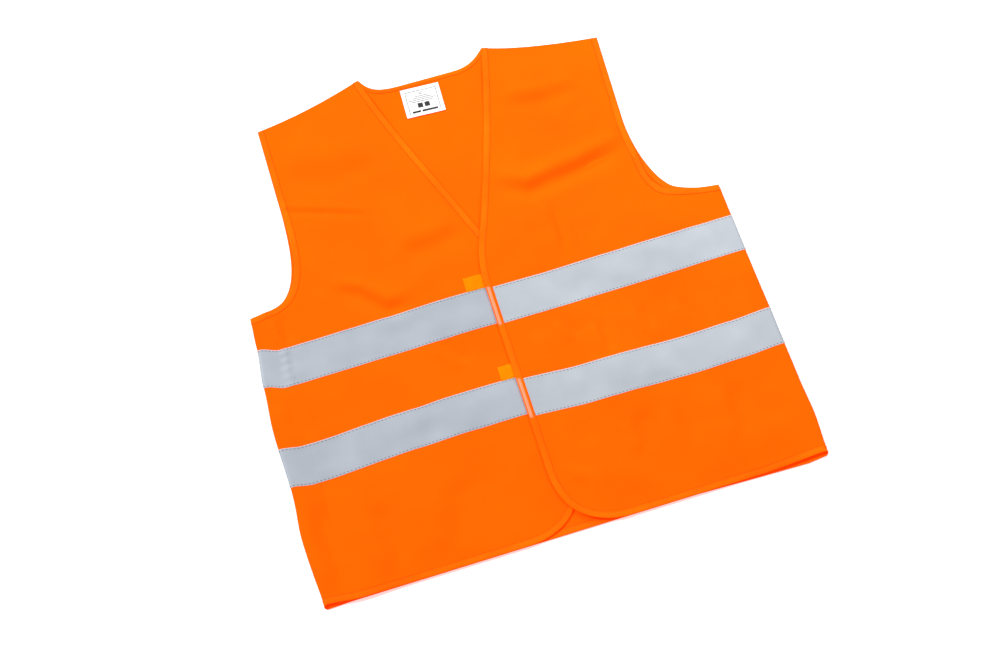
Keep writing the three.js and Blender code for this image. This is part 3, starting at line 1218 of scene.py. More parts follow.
def shader_group(
    name: str, inputs: Sequence[tuple[str, float]], outputs: Sequence[str],
) -> tuple[NodeTree, dict[str, Socket]]:
    """Starts a shader node group that takes and gives numbers.

    Args:
        name: The group's name.
        inputs: The name and default of each number that it takes.
        outputs: The names of the numbers that it gives.

    Returns:
        The group's helper, and its input sockets by name.
    """
    group = bpy.data.node_groups.new(name, "ShaderNodeTree")
    for label, default in inputs:
        socket = group.interface.new_socket(label, in_out="INPUT", socket_type="NodeSocketFloat")
        socket.default_value = default
    for label in outputs:
        group.interface.new_socket(label, in_out="OUTPUT", socket_type="NodeSocketFloat")
    tree = NodeTree(group)
    return tree, {s.name: s for s in tree.add("NodeGroupInput").outputs if s.name}


def pattern_place(tree: NodeTree) -> Socket:
    """The place on the piece's own flat pattern, in metres."""
    return tree.add("ShaderNodeUVMap", uv_map="pattern").outputs[0]


def knit_group() -> Group:
    """Warp knit: ribs along the cloth, crossed by rows of small loops.

    Returns:
        The group, with the outputs Height and Gap.
    """
    tree, given = shader_group("knit", [("Rib", 0.0009), ("Row", 0.0011)], ["Height", "Gap"])
    place = tree.add("ShaderNodeSeparateXYZ", {0: pattern_place(tree)})
    across = tree.math("MULTIPLY", tree.math("DIVIDE", place.outputs[0], given["Rib"]), math.pi)
    rib = tree.math("ABSOLUTE", tree.math("SINE", across))
    slant = tree.math("MULTIPLY", rib, 0.9)
    along = tree.math("MULTIPLY", tree.math("DIVIDE", place.outputs[1], given["Row"]), 2 * math.pi)
    row = tree.math("MULTIPLY_ADD", tree.math("SINE", tree.math("ADD", along, slant)), 0.5, 0.5)
    height = tree.math("ADD", tree.math("MULTIPLY", rib, 0.6), tree.math("MULTIPLY", row, 0.4))
    gap = tree.math("SUBTRACT", 1.0, tree.math("SMOOTH_MIN", tree.math("MULTIPLY", height, 2.6), 1.0, 0.2))
    tree.add("NodeGroupOutput", {"Height": height, "Gap": gap})
    return tree.tree


def mottle_group() -> Group:
    """Broad soft patches and fine fibre grain, both from 0 to 1.

    Returns:
        The group, with the outputs Patches and Grain.
    """
    tree, given = shader_group("mottle", [("Patch", 0.09), ("Grain", 0.0012)], ["Patches", "Grain"])
    place = pattern_place(tree)
    for label, detail in (("Patch", 2.0), ("Grain", 3.0)):
        scale = tree.math("DIVIDE", 1.0, given[label])
        tree.add("ShaderNodeTexNoise", {"Vector": place, "Scale": scale, "Detail": detail}, name=label)
    nodes = tree.tree.nodes
    tree.add("NodeGroupOutput", {"Patches": nodes["Patch"].outputs[0], "Grain": nodes["Grain"].outputs[0]})
    return tree.tree


def new_material(name: str) -> tuple[Material, NodeTree, Node]:
    """An empty material with its shader.

    Args:
        name: The material's name.

    Returns:
        The material, its tree's helper, and its Principled shader.
    """
    material = bpy.data.materials.new(name)
    material.use_nodes = True
    tree = NodeTree(material.node_tree)
    return material, tree, material.node_tree.nodes["Principled BSDF"]


def group_node(tree: NodeTree, group: Group, **values: float) -> Node:
    """A node that uses a shader group, with its own values.

    Args:
        tree: The tree that gets the node.
        group: The group to use.
        values: Values for the group's inputs, by their names.

    Returns:
        The node.
    """
    node = tree.add("ShaderNodeGroup", node_tree=group)
    for name, value in values.items():
        node.inputs[name].default_value = value
    return node


def mixed(tree: NodeTree, factor: Socket, first: Socket | Colour, second: Socket | Colour) -> Socket:
    """The colour between two, by a factor.

    Args:
        tree: The tree that gets the mix.
        factor: 0 for the first colour and 1 for the second.
        first: The first colour.
        second: The second colour.

    Returns:
        The mixed colour.
    """
    mix = tree.add("ShaderNodeMix", data_type="RGBA")
    tree.tree.links.new(factor, mix.inputs["Factor"])
    for index, colour in ((6, first), (7, second)):
        if isinstance(colour, Socket):
            tree.tree.links.new(colour, mix.inputs[index])
        else:
            mix.inputs[index].default_value = (*colour, 1)
    return mix.outputs[2]


def ramp(
    tree: NodeTree, value: Socket, low: float, high: float, start: float = 0.0, end: float = 1.0,
) -> Socket:
    """A value stretched from (low, high) to (start, end), held inside it."""
    limits = {"From Min": low, "From Max": high, "To Min": start, "To Max": end}
    return tree.add("ShaderNodeMapRange", {"Value": value, **limits}).outputs[0]


def raised(tree: NodeTree, shader: Node, height: Socket, distance: float, strength: float) -> None:
    """Feeds a height to the shader's normal through a Bump node."""
    relief = tree.add("ShaderNodeBump", {"Height": height, "Distance": distance, "Strength": strength})
    tree.tree.links.new(relief.outputs[0], shader.inputs["Normal"])


@dataclass(frozen=True)
class KnitFinish:
    """Fluorescent knitted cloth, with a painted glow that keeps its shaded folds red."""

    name: str
    light: Colour
    deep: Colour
    roughness: float = 0.85
    sheen: float = 0.02
    specular: float = 0.02
    rib: float = 0.0009
    row: float = 0.0011
    relief: float = 0.00012
    # Painted glow: red emission, though the cloth is no lamp, that keeps shaded folds and the insides of the
    # layers red. It stands in for the dye's fluorescence and for light bounced between the layers.
    glow: Colour = (1.0, 0.022, 0.0)
    glow_strength: float = 0.62
    # Colour of the painted shade along a binding's stitch groove and inner edge.
    sunken: Colour = (0.36, 0.030, 0.0005)
    shows_tape: Colour | None = None

    def material(self) -> Material:
        """Builds the finish.

        Returns:
            The material.
        """
        material, tree, shader = new_material(self.name)
        knit = group_node(tree, GROUPS["knit"], Rib=self.rib, Row=self.row)
        mottle = group_node(tree, GROUPS["mottle"], Patch=0.085, Grain=0.0011)
        patches = ramp(tree, mottle.outputs["Patches"], 0.36, 0.64)
        colour = mixed(tree, patches, self.deep, self.light)
        # Painted shade: the colour is darkened in the knit's gaps between its loops.
        shade = tree.math("MULTIPLY", knit.outputs["Gap"], 0.28)
        dark = tuple(0.62 * c for c in self.deep)
        colour = mixed(tree, shade, colour, dark)
        # Painted highlight: a pale pink strip where the binding rises over a tape, with the tape's grey
        # showing through.
        if self.shows_tape:
            mask = tree.add("ShaderNodeAttribute", attribute_name="tape_shows")
            colour = mixed(tree, mask.outputs["Fac"], colour, self.shows_tape)
            # Darkens the binding with painted shade along its stitch groove and inner edge.
            painted_shade_mask = tree.add("ShaderNodeAttribute", attribute_name="sunken")
            colour = mixed(tree, painted_shade_mask.outputs["Fac"], colour, self.sunken)
        tree.tree.links.new(colour, shader.inputs["Base Color"])
        rough = ramp(tree, mottle.outputs["Grain"], 0.3, 0.7, self.roughness - 0.08, self.roughness + 0.06)
        tree.tree.links.new(rough, shader.inputs["Roughness"])
        shader.inputs["Sheen Weight"].default_value = self.sheen
        shader.inputs["Sheen Roughness"].default_value = 0.4
        shader.inputs["Sheen Tint"].default_value = (1.0, 0.35, 0.03, 1)
        shader.inputs["Specular IOR Level"].default_value = self.specular
        # The painted glow.
        shader.inputs["Emission Color"].default_value = (*self.glow, 1)
        shader.inputs["Emission Strength"].default_value = self.glow_strength
        height = tree.math("ADD", knit.outputs["Height"], tree.math("MULTIPLY", mottle.outputs["Grain"], 0.5))
        raised(tree, shader, height, self.relief, 0.7)
        return material


@dataclass(frozen=True)
class TapeFinish:
    """Glass bead reflective fabric with a pale selvedge."""

    name: str
    silver: Colour
    shade: Colour
    selvedge: Colour
    roughness: float = 0.62

    def material(self) -> Material:
        """Builds the finish.

        Returns:
            The material.
        """
        material, tree, shader = new_material(self.name)
        mottle = group_node(tree, GROUPS["mottle"], Patch=0.05, Grain=0.0007)
        weave = group_node(tree, GROUPS["knit"], Rib=0.0005, Row=0.0005)
        colour = mixed(tree, ramp(tree, mottle.outputs["Patches"], 0.35, 0.65), self.shade, self.silver)
        grain = ramp(tree, mottle.outputs["Grain"], 0.35, 0.65, 0.0, 0.16)
        colour = mixed(tree, grain, colour, self.shade)
        place = tree.add("ShaderNodeSeparateXYZ", {0: pattern_place(tree)})
        middle = tree.math("ABSOLUTE", tree.math("SUBTRACT", place.outputs[1], TAPE_WIDTH / 2 * MM))
        edge = ramp(tree, middle, (TAPE_WIDTH / 2 - 0.7) * MM, (TAPE_WIDTH / 2 - 0.45) * MM)
        colour = mixed(tree, edge, colour, self.selvedge)
        tree.tree.links.new(colour, shader.inputs["Base Color"])
        rough = ramp(tree, mottle.outputs["Grain"], 0.3, 0.7, self.roughness - 0.05, self.roughness + 0.08)
        tree.tree.links.new(rough, shader.inputs["Roughness"])
        shader.inputs["Metallic"].default_value = 0.15
        shader.inputs["Specular IOR Level"].default_value = 0.3
        height = tree.math("ADD", weave.outputs["Height"], mottle.outputs["Grain"])
        raised(tree, shader, height, 0.00004, 0.6)
        return material


@dataclass(frozen=True)
class ThreadFinish:
    """Sewing thread, fuzz, hooks and other plain fibres."""

    name: str
    colour: Colour
    dark: Colour
    roughness: float = 0.7
    specular: float = 0.02
    twist: float = 900.0

    def material(self) -> Material:
        """Builds the finish.

        Returns:
            The material.
        """
        material, tree, shader = new_material(self.name)
        place = tree.add("ShaderNodeTexCoord").outputs["Object"]
        twist = tree.add("ShaderNodeTexNoise", {"Vector": place, "Scale": self.twist, "Detail": 2.0})
        share = ramp(tree, twist.outputs[0], 0.35, 0.65)
        tree.tree.links.new(mixed(tree, share, self.dark, self.colour), shader.inputs["Base Color"])
        shader.inputs["Roughness"].default_value = self.roughness
        shader.inputs["Specular IOR Level"].default_value = self.specular
        raised(tree, shader, twist.outputs[0], 0.00006, 0.6)
        return material


@dataclass(frozen=True)
class WovenFinish:
    """Fine woven ground cloth: the label's satin and the backing of hook and loop tape."""

    name: str
    colour: Colour
    dark: Colour
    roughness: float = 0.5
    specular: float = 0.02
    thread: float = 0.00035

    def material(self) -> Material:
        """Builds the finish.

        Returns:
            The material.
        """
        material, tree, shader = new_material(self.name)
        weave = group_node(tree, GROUPS["knit"], Rib=self.thread, Row=self.thread * 1.3)
        mottle = group_node(tree, GROUPS["mottle"], Patch=0.02, Grain=0.0006)
        share = ramp(tree, mottle.outputs["Patches"], 0.3, 0.7)
        colour = mixed(tree, share, self.dark, self.colour)
        # Painted shade: the colour is darkened in the weave's gaps.
        colour = mixed(tree, tree.math("MULTIPLY", weave.outputs["Gap"], 0.3), colour, self.dark)
        tree.tree.links.new(colour, shader.inputs["Base Color"])
        rough = ramp(tree, mottle.outputs["Grain"], 0.3, 0.7, self.roughness - 0.06, self.roughness + 0.06)
        tree.tree.links.new(rough, shader.inputs["Roughness"])
        shader.inputs["Specular IOR Level"].default_value = self.specular
        raised(tree, shader, weave.outputs["Height"], 0.00005, 0.6)
        return material


class Wardrobe:
    """Every finish of the vest, built once."""

    def __init__(self) -> None:
        """Builds the materials."""
        self.cloth = KnitFinish(
            "orange_knit", light=(0.80, 0.111, 0.0004), deep=(0.80, 0.103, 0.0004),
        ).material()
        # The binding's patches spread wider than the cloth's: the lighter ones are painted sheen, bright
        # speckles on the shiny binding.
        self.binding = KnitFinish(
            "orange_binding", light=(0.80, 0.142, 0.0006), deep=(0.80, 0.108, 0.0005), roughness=0.6,
            rib=0.0006, row=0.0007, relief=0.00008, shows_tape=(0.86, 0.32, 0.20),
        ).material()
        self.tape = TapeFinish(
            "silver_tape", (0.415, 0.445, 0.485), (0.38, 0.41, 0.45), (0.42, 0.50, 0.52),
        ).material()
        # A darker copy of the tape for the right front and the back: painted shade, for the weaker light on
        # that half of the vest.
        self.turned_tape = TapeFinish(
            "silver_tape_turned", (0.37, 0.403, 0.453), (0.34, 0.371, 0.418), (0.37, 0.455, 0.49),
        ).material()
        self.orange_thread = ThreadFinish(
            "orange_thread", (0.98, 0.22, 0.004), (0.90, 0.15, 0.002),
        ).material()
        self.grey_thread = ThreadFinish("grey_thread", (0.19, 0.20, 0.235), (0.12, 0.128, 0.15)).material()
        self.loops = ThreadFinish("loop_fuzz", (0.92, 0.35, 0.0005), (0.88, 0.275, 0.0005), 0.9).material()
        self.loop_ground = WovenFinish(
            "loop_ground", (0.88, 0.27, 0.0005), (0.80, 0.21, 0.0005), 0.9,
        ).material()
        self.hooks = ThreadFinish(
            "hook_monofilament", (0.90, 0.24, 0.01), (0.80, 0.18, 0.008), 0.35, 0.2,
        ).material()
        self.hook_ground = WovenFinish(
            "hook_ground", (0.84, 0.17, 0.005), (0.72, 0.12, 0.003), 0.7,
        ).material()
        self.label = WovenFinish("label_satin", (0.86, 0.86, 0.85), (0.80, 0.80, 0.79), 0.42, 0.15).material()
        self.print = ThreadFinish("label_print", (0.045, 0.045, 0.05), (0.03, 0.03, 0.035), 0.6).material()
        self.pale_print = ThreadFinish(
            "label_pale_print", (0.20, 0.205, 0.22), (0.15, 0.155, 0.17), 0.6,
        ).material()


# ---- The vest's sub-assemblies ----


def band_low(side: Side | None, level: Level) -> Callable[[Points], Points]:
    """The lower edge of a tape over the pattern, as a curve of s.

    Args:
        side: The front's side, or None for the back.
        level: Which of the two tapes.

    Returns:
        A function of s that gives the edge's y.
    """
    base = TAPE_BASE[level]
    shifts = {
        (Side.RIGHT, Level.UPPER): ((-277, -1.5), (-150, 0.5), (-15, 3)),
        (Side.LEFT, Level.UPPER): ((-6, 0), (150, 1), (312, 4)),
        (Side.RIGHT, Level.LOWER): ((-277, 1), (-150, 6), (-95, 8)),
        (Side.LEFT, Level.LOWER): ((-8, 3), (70, -1), (200, -3), (260, -2), (313, 1)),
        (None, Level.UPPER): ((-345, -1.5), (-318, 6), (-305, 6), (-200, 1), (200, 1), (300, 4)),
        (None, Level.LOWER): ((-345, 1), (-318, 5), (-305, 5), (-200, 2), (200, 0), (300, 1)),
    }[side, level]

    def low(s: Points) -> Points:
        """The tape's lower edge at pattern places s."""
        return base + between(shifts, s)

    return low


def in_tapes(side: Side | None) -> Height:
    """A mask that is 1 where a reflective tape covers the pattern.

    Args:
        side: The front's side, or None for the back.

    Returns:
        A function of pattern places that gives the mask.
    """

    def mask(s: Points, y: Points) -> Points:
        """The mask at pattern places, added up over both tapes.

        Args:
            s: The places' s.
            y: The places' y.

        Returns:
            1 on a tape and 0 off it.
        """
        total = np.zeros(np.shape(s))
        for level in Level:
            low = band_low(side, level)(s)
            total += eased((y - low + 1.5) / 1.5) * eased((low + TAPE_WIDTH + 1.5 - y) / 1.5)
        return total

    return mask


TAPE_LIFT = CLOTH / 2 + TAPE_CLOTH / 2 + 0.15


@dataclass
class TapeSet:
    """The reflective tapes and their grey stitches on one panel."""

    owner: str
    side: Side | None
    panel: Panel
    start: float
    end: float
    wardrobe: Wardrobe
    pieces: dict[str, Piece] = field(default_factory=dict)

    STITCH_INSET = 1.8

    def build(self) -> dict[str, Piece]:
        """Makes both tapes and their stitches.

        Returns:
            The tapes by their level, and the stitches.
        """
        rows = []
        for level in Level:
            low = band_low(self.side, level)
            band = Band(self.start, self.end, low, TAPE_WIDTH)
            name = f"{self.owner}_{level.value}_reflective_tape"
            # The left front's tapes get the lit copy, and the others get the copy with painted shade.
            finish = self.wardrobe.tape if self.side is Side.LEFT else self.wardrobe.turned_tape
            self.pieces[level.value] = band.make(name, self.panel, TAPE_LIFT, TAPE_CLOTH, finish)
            s = np.linspace(self.start, self.end, max(3, round(abs(self.end - self.start) / 4)))
            for inset in (self.STITCH_INSET, TAPE_WIDTH - self.STITCH_INSET):
                line = np.stack([s, low(s) + inset], axis=1)
                rows.append((line, TAPE_LIFT + TAPE_CLOTH / 2 + 0.1))
        sewn = Stitching(spacing=4.65, length=2.4, width=0.7)
        name = f"{self.owner}_tape_stitches"
        self.pieces["stitches"] = sewn.make(name, self.panel, rows, self.wardrobe.grey_thread)
        return self.pieces


@dataclass(frozen=True)
class FoldLine:
    """The hinge that a front folds open about, and the zone beside it where the front's net is made finer."""

    side: Side
    zone: float = 52.0

    @property
    def body(self) -> str:
        """The body of the moving flap."""
        return f"{self.side.word}_front"

    def hinge(self) -> tuple[Vector, Vector]:
        """A point of the hinge, and the direction from it into the flap.

        Returns:
            The point, in metres, and the direction.
        """
        joint = next(j for j in frame["joints"] if j["child"] == self.body)
        inward = Vector((0, 0, 1)).cross(Vector(joint["axis"])).normalized()
        return Vector(joint["pos_m"]), inward

    def covers(self, points: Points) -> Points:
        """Which plan points lie in the zone beside the hinge.

        Args:
            points: The plan points.

        Returns:
            True for each point in the zone or close beside it.
        """
        start, inward = self.hinge()
        apart = (points[:, 0] - start.x / MM) * inward.x + (points[:, 1] + HEM_Y - start.y / MM) * inward.y
        return (apart > -4) & (apart < self.zone + 4)

    def bend(self, piece: Piece) -> None:
        """Bakes a piece's placement into its mesh; the hinge is looked up, and nothing is bent."""
        start, inward = self.hinge()
        self.body
        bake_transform(piece)


@dataclass
class Front:
    """One front of the vest: cloth, bindings, tapes and stitches."""

    side: Side
    panel: Panel
    wardrobe: Wardrobe

    EDGE_RUN = 640.0

    @property
    def name(self) -> str:
        """The start of the front's piece names."""
        return f"{self.side.word}_front"

    def side_end(self) -> float:
        """The pattern's s at the front's side seam."""
        if self.side is Side.RIGHT:
            return SIDE_SEAM[self.side]
        return self.panel.past_fold(SIDE_SEAM[self.side])

    def edge_line(self) -> Points:
        """The pattern line of the free edge and hem, from the neck point to the side seam.

        Returns:
            The line's points.
        """
        line = PLAN.front_edge[self.side]
        if self.side is Side.RIGHT:
            return until_x(line, SIDE_SEAM[self.side])
        top = until_x(line, FOLD_START)
        return np.vstack([top, (FOLD_START + FOLD_LENGTH, BACK_HEM + 1), (self.side_end(), BACK_HEM - 1.5)])

    def armhole_line(self) -> Points:
        """The pattern line of the armhole, from the shoulder tip to the side seam.

        Returns:
            The line's points.
        """
        line = PLAN.armhole_front[self.side]
        if self.side is Side.RIGHT:
            return until_x(line, SEAM_BEND[-1][0])
        top = until_x(line, FOLD_START)
        under = PLAN.armhole_back[self.side][::-1]
        under = under[(under[:, 0] > SIDE_SEAM[self.side]) & (under[:, 0] < FOLD_START)]
        far = np.stack([self.panel.past_fold(0) - under[:, 0], under[:, 1]], axis=1)
        return np.vstack([top, (FOLD_START + FOLD_LENGTH, top[-1, 1]), far[::4]])

    def outline(self) -> Points:
        """The closed pattern outline.

        Returns:
            The outline's points.
        """
        edge, arm = spaced(self.edge_line(), EDGE_STEP), spaced(self.armhole_line(), EDGE_STEP)
        bend = SEAM_BEND[:-1] if self.side is Side.RIGHT else ()
        seam = spaced(np.vstack([edge[-1], *bend, arm[-1]]), EDGE_STEP)
        shoulder = spaced(PLAN.shoulder[self.side][::-1], EDGE_STEP)
        return np.vstack([edge, seam[1:-1], arm[::-1], shoulder[1:-1]])

    def build(self) -> Piece:
        """Makes the front; of its pieces only the armhole binding and its stitches are handed to a body, the
        root.

        Returns:
            The front's cloth.
        """
        side, word = self.side, self.side.word
        hand = side.value
        fold = FoldLine(side)
        outline = self.outline()
        sheet = cloth(f"{self.name}_cloth", self.panel, outline, self.wardrobe.cloth, fine=fold.covers)
        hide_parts(f"{self.name}_side_panel", f"{self.name}_flap_panel")
        edge = Binding(self.edge_line(), hand, seed=3 + side.value, over_tape=in_tapes(side))
        edging = edge.make(f"{self.name}_binding", self.panel, self.wardrobe.binding)
        self.mark_tape(edging, edge)
        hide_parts(f"{self.name}_edge_binding", f"{self.name}_hem_binding")
        inner = OVERLAP - 3.0
        tapes = TapeSet(
            self.name, side, self.panel, side.value * -inner, self.side_end(), self.wardrobe,
        ).build()
        for level in Level:
            ends = [f"{self.name}_{level.value}_tape_{place}" for place in ("side", "flap")]
            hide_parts(*ends)
        sewing, thread = Stitching(width=0.6, seed=8), self.wardrobe.orange_thread
        stitches = sewing.make(f"{self.name}_binding_stitches", self.panel, edge.stitch_rows(), thread)
        bending = [sheet, edging, stitches, *tapes.values()]
        for piece in bending:
            fold.bend(piece)
        arm = Binding(self.armhole_line(), hand=-side.value, seed=13 + side.value)
        arm_piece = arm.make(f"{word}_armhole_front_binding", self.panel, self.wardrobe.binding)
        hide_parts(f"{word}_armhole_binding_front")
        arm_stitches = sewing.make(f"{word}_armhole_front_stitches", self.panel, arm.stitch_rows(), thread)
        for piece in (arm_piece, arm_stitches):
            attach(piece, "root")
        triangles = len(sheet.data.polygons)
        LOG.info("%s: cloth with %d triangles, binding, tapes and stitches", self.name, triangles)
        return sheet

    def mark_tape(self, piece: Piece, edge: Binding) -> None:
        """Paints a pale pink strip on the outer half of the front edge's binding where it crosses a tape: a
        painted highlight where the binding rises over the tape, with the tape's grey showing through the thin
        binding.

        Args:
            piece: The binding's piece.
            edge: The binding it was made from.
        """
        line = spaced(edge.line, edge.RING_STEP)
        over = in_tapes(self.side)(line[:, 0], line[:, 1]) * (lengths(line) < self.EDGE_RUN)
        inward = edge.section()[:, 0]
        strip = eased((0.52 * edge.width - inward) / 0.6) * eased((inward - 0.4) / 0.5)
        strip[len(inward) // 2:] = 0
        mask = np.outer(over, strip).astype(np.float32)
        attribute = piece.data.attributes.new("tape_shows", "FLOAT", "POINT")
        attribute.data.foreach_set("value", 0.85 * mask.ravel())


@dataclass
class Back:
    """The back of the vest: cloth, bindings, tapes and stitches."""

    panel: Panel
    wardrobe: Wardrobe

    def seam_end(self) -> float:
        """The pattern's s at the right side seam, up on the front."""
        return self.panel.past_fold(SIDE_SEAM[Side.RIGHT])

    def hem_line(self) -> Points:
        """The pattern line of the hem, from the right side seam to the left one.

        Returns:
            The line's points.
        """
        front = PLAN.front_edge[Side.RIGHT]
        over = front[front[:, 0] < SIDE_SEAM[Side.RIGHT]]
        over = over[over[:, 0] > -FOLD_START]
        top = np.stack([self.panel.past_fold(0) - over[:, 0], over[:, 1]], axis=1)
        return np.vstack([
            (self.seam_end(), over[0, 1]), top[::5], (-FOLD_START - FOLD_LENGTH, MOUTH[Side.RIGHT]),
            (-FOLD_START, BACK_HEM + 1), (-FOLD_START + 30, BACK_HEM + 2), (150, BACK_HEM + 2.2),
            (225, BACK_HEM), (SIDE_SEAM[Side.LEFT], BACK_HEM - 1.5),
        ])

    def armhole_line(self, side: Side) -> Points:
        """The pattern line of one armhole, from the shoulder tip to the side seam.

        Args:
            side: The armhole's side.

        Returns:
            The line's points.
        """
        line = PLAN.armhole_back[side]
        if side is Side.LEFT:
            return until_x(line, SIDE_SEAM[side])
        under = until_x(line, -FOLD_START)
        over = spaced(PLAN.armhole_front[side], 2)[::-1]
        over = over[(over[:, 0] < SEAM_BEND[-1][0]) & (over[:, 0] > -FOLD_START)]
        top = np.stack([self.panel.past_fold(0) - over[:, 0], over[:, 1]], axis=1)
        end = (self.panel.past_fold(SEAM_BEND[-1][0]), over[-1, 1])
        return np.vstack([under, (-FOLD_START - FOLD_LENGTH, under[-1, 1]), top[::2], end])

    def outline(self) -> Points:
        """The closed pattern outline.

        Returns:
            The outline's points.
        """
        hem = spaced(self.hem_line(), EDGE_STEP)
        left = spaced(self.armhole_line(Side.LEFT)[::-1], EDGE_STEP)
        right = spaced(self.armhole_line(Side.RIGHT), EDGE_STEP)
        left_seam = spaced(np.array([hem[-1], left[0]]), EDGE_STEP)
        bend = [(self.panel.past_fold(x), y) for x, y in SEAM_BEND[1::-1]]
        right_seam = spaced(np.vstack([right[-1], *bend, hem[0]]), EDGE_STEP)
        left_shoulder = spaced(PLAN.shoulder[Side.LEFT][::-1], EDGE_STEP)
        right_shoulder = spaced(PLAN.shoulder[Side.RIGHT], EDGE_STEP)
        neck = spaced(PLAN.back_neck[::-1], EDGE_STEP)
        return np.vstack([
            hem, left_seam[1:-1], left, left_shoulder[1:], neck[1:], right_shoulder[1:], right[1:],
            right_seam[1:-1],
        ])

    def build(self) -> Piece:
        """Makes the back.

        Returns:
            The back's cloth.
        """
        outline = self.outline()
        sheet = cloth("back_cloth", self.panel, outline, self.wardrobe.cloth)
        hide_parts("back_panel")
        bindings = {
            "back_hem_binding": Binding(self.hem_line(), 1, seed=21),
            "back_neck_binding": Binding(PLAN.back_neck, -1, width=NECK_BINDING_WIDTH, seed=22),
            "right_armhole_binding_back": Binding(self.armhole_line(Side.RIGHT), 1, seed=23),
            "left_armhole_binding_back": Binding(self.armhole_line(Side.LEFT), -1, seed=24),
        }
        edging, rows = [], []
        for node, binding in bindings.items():
            piece = binding.make(f"{node}_cloth", self.panel, self.wardrobe.binding)
            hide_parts(node)
            edging.append(piece)
            rows += binding.stitch_rows()
        sewing = Stitching(width=0.6, seed=9)
        edging.append(sewing.make("back_binding_stitches", self.panel, rows, self.wardrobe.orange_thread))
        tapes = TapeSet(
            "back", None, self.panel, SIDE_SEAM[Side.LEFT], self.seam_end(), self.wardrobe,
        ).build()
        for level in Level:
            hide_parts(f"back_{level.value}_tape")
        for piece in (sheet, *edging, *tapes.values()):
            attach(piece, "root")
        LOG.info("back: cloth with %d triangles, bindings, tapes and stitches", len(sheet.data.polygons))
        return sheet


@dataclass(frozen=True)
class Closure:
    """A pair of touch fastener patches above one tape."""

    level: Level
    height: float = 19.0
    hook_reach: Reach = (-6.0, 38.0)
    ground: float = 0.45
    rows: float = 1.05

    @property
    def loop_reach(self) -> Reach:
        """The loop patch's first and last x."""
        return (-41.0, 5.0) if self.level is Level.UPPER else (-34.0, 10.0)

    def patch(
        self, name: str, panel: Panel, side: Side, reach: Reach, inner: bool, ground: Material,
        pile: Material, pile_values: dict[str, float],
    ) -> list[Piece]:
        """One patch: its woven ground and the pile of hooks or loops on it.

        Args:
            name: The start of the pieces' names.
            panel: The front it is sewn to.
            side: That front's side.
            reach: The patch's first and last x.
            inner: Whether it is on the inside of the cloth.
            ground: The ground's material.
            pile: The material of the hooks or loops.
            pile_values: The pile tree's sizes.

        Returns:
            The ground and the pile.
        """
        sign = -1 if inner else 1
        tape = band_low(side, self.level)

        def low(s: Points) -> Points:
            """The patch's lower edge, just under the tape's upper one."""
            return tape(s) + TAPE_WIDTH - 0.4

        lift = sign * (CLOTH / 2 + self.ground / 2 + 0.02)
        band = Band(*reach, low, self.height)
        base = band.make(f"{name}_ground", panel, lift, self.ground, ground)
        xs = np.arange(reach[0] + 1.6, reach[1] - 1.2, self.rows)
        ys = np.arange(1.6, self.height - 1.2, self.rows)
        gx, gy = np.meshgrid(xs, ys, indexing="ij")
        gx = gx + 0.5 * self.rows * (np.arange(len(ys)) % 2)
        places = np.stack([gx.ravel(), low(gx.ravel()) + gy.ravel(), np.zeros(gx.size)], axis=1)
        mesh = grown(TREES["pile"], places, [], {**pile_values, "Material": pile})
        flat = vertices(mesh)
        flat[:, 2] = sign * (flat[:, 2] + CLOTH / 2 + self.ground)
        mesh.vertices.foreach_set("co", flat.astype(np.float32).ravel())
        if inner:
            mesh.flip_normals()
        return [base, laid(f"{name}_pile", panel, mesh)]

    def border(self, side: Side, reach: Reach) -> Points:
        """The pattern line of the stitches round a patch.

        Args:
            side: The side of the patch's front.
            reach: The patch's first and last s.

        Returns:
            The closed line's points.
        """
        tape = band_low(side, self.level)
        x0, x1 = reach[0] + 1.3, reach[1] - 1.3
        y0, y1 = TAPE_WIDTH + 1.0, TAPE_WIDTH + self.height - 1.6
        corners = np.array([(x0, y0), (x0, y1), (x1, y1), (x1, y0), (x0, y0)])
        dense = spaced(corners, 1.5)
        return np.stack([dense[:, 0], tape(dense[:, 0]) + dense[:, 1]], axis=1)

    def build(self, right: Panel, left: Panel, wardrobe: Wardrobe) -> None:
        """Makes both patches and their stitches, each on its own front's flap.

        Args:
            right: The right front's panel.
            left: The left front's panel.
            wardrobe: The finishes.
        """
        word = self.level.value
        loop = self.patch(
            f"{word}_loop", right, Side.RIGHT, self.loop_reach, False, wardrobe.loop_ground, wardrobe.loops,
            {"Height": 0.55, "Thread": 0.085, "Sweep": math.pi, "Turning": 3.1, "Uneven": 0.45, "Seed": 3},
        )
        hook = self.patch(
            f"{word}_hook", left, Side.LEFT, self.hook_reach, True, wardrobe.hook_ground, wardrobe.hooks,
            {"Height": 0.5, "Thread": 0.11, "Sweep": 4.1, "Turning": 0.25, "Uneven": 0.1, "Seed": 4},
        )
        sewing = Stitching(spacing=2.8, length=2.0, width=0.4, seed=6)
        loop_rows = [(self.border(Side.RIGHT, self.loop_reach), CLOTH / 2 + self.ground + 0.08)]
        hook_rows = [(self.border(Side.LEFT, self.hook_reach), CLOTH / 2 + 0.1)]
        loop.append(sewing.make(f"{word}_loop_stitches", right, loop_rows, wardrobe.orange_thread))
        hook.append(sewing.make(f"{word}_hook_stitches", left, hook_rows, wardrobe.orange_thread))
        for kind, pieces, body in (("loop", loop, "right_front"), ("hook", hook, "left_front")):
            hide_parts(f"{word}_{kind}_patch")
            for piece in pieces:
                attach(piece, body)
        LOG.info("%s closure: loop and hook patches", word)


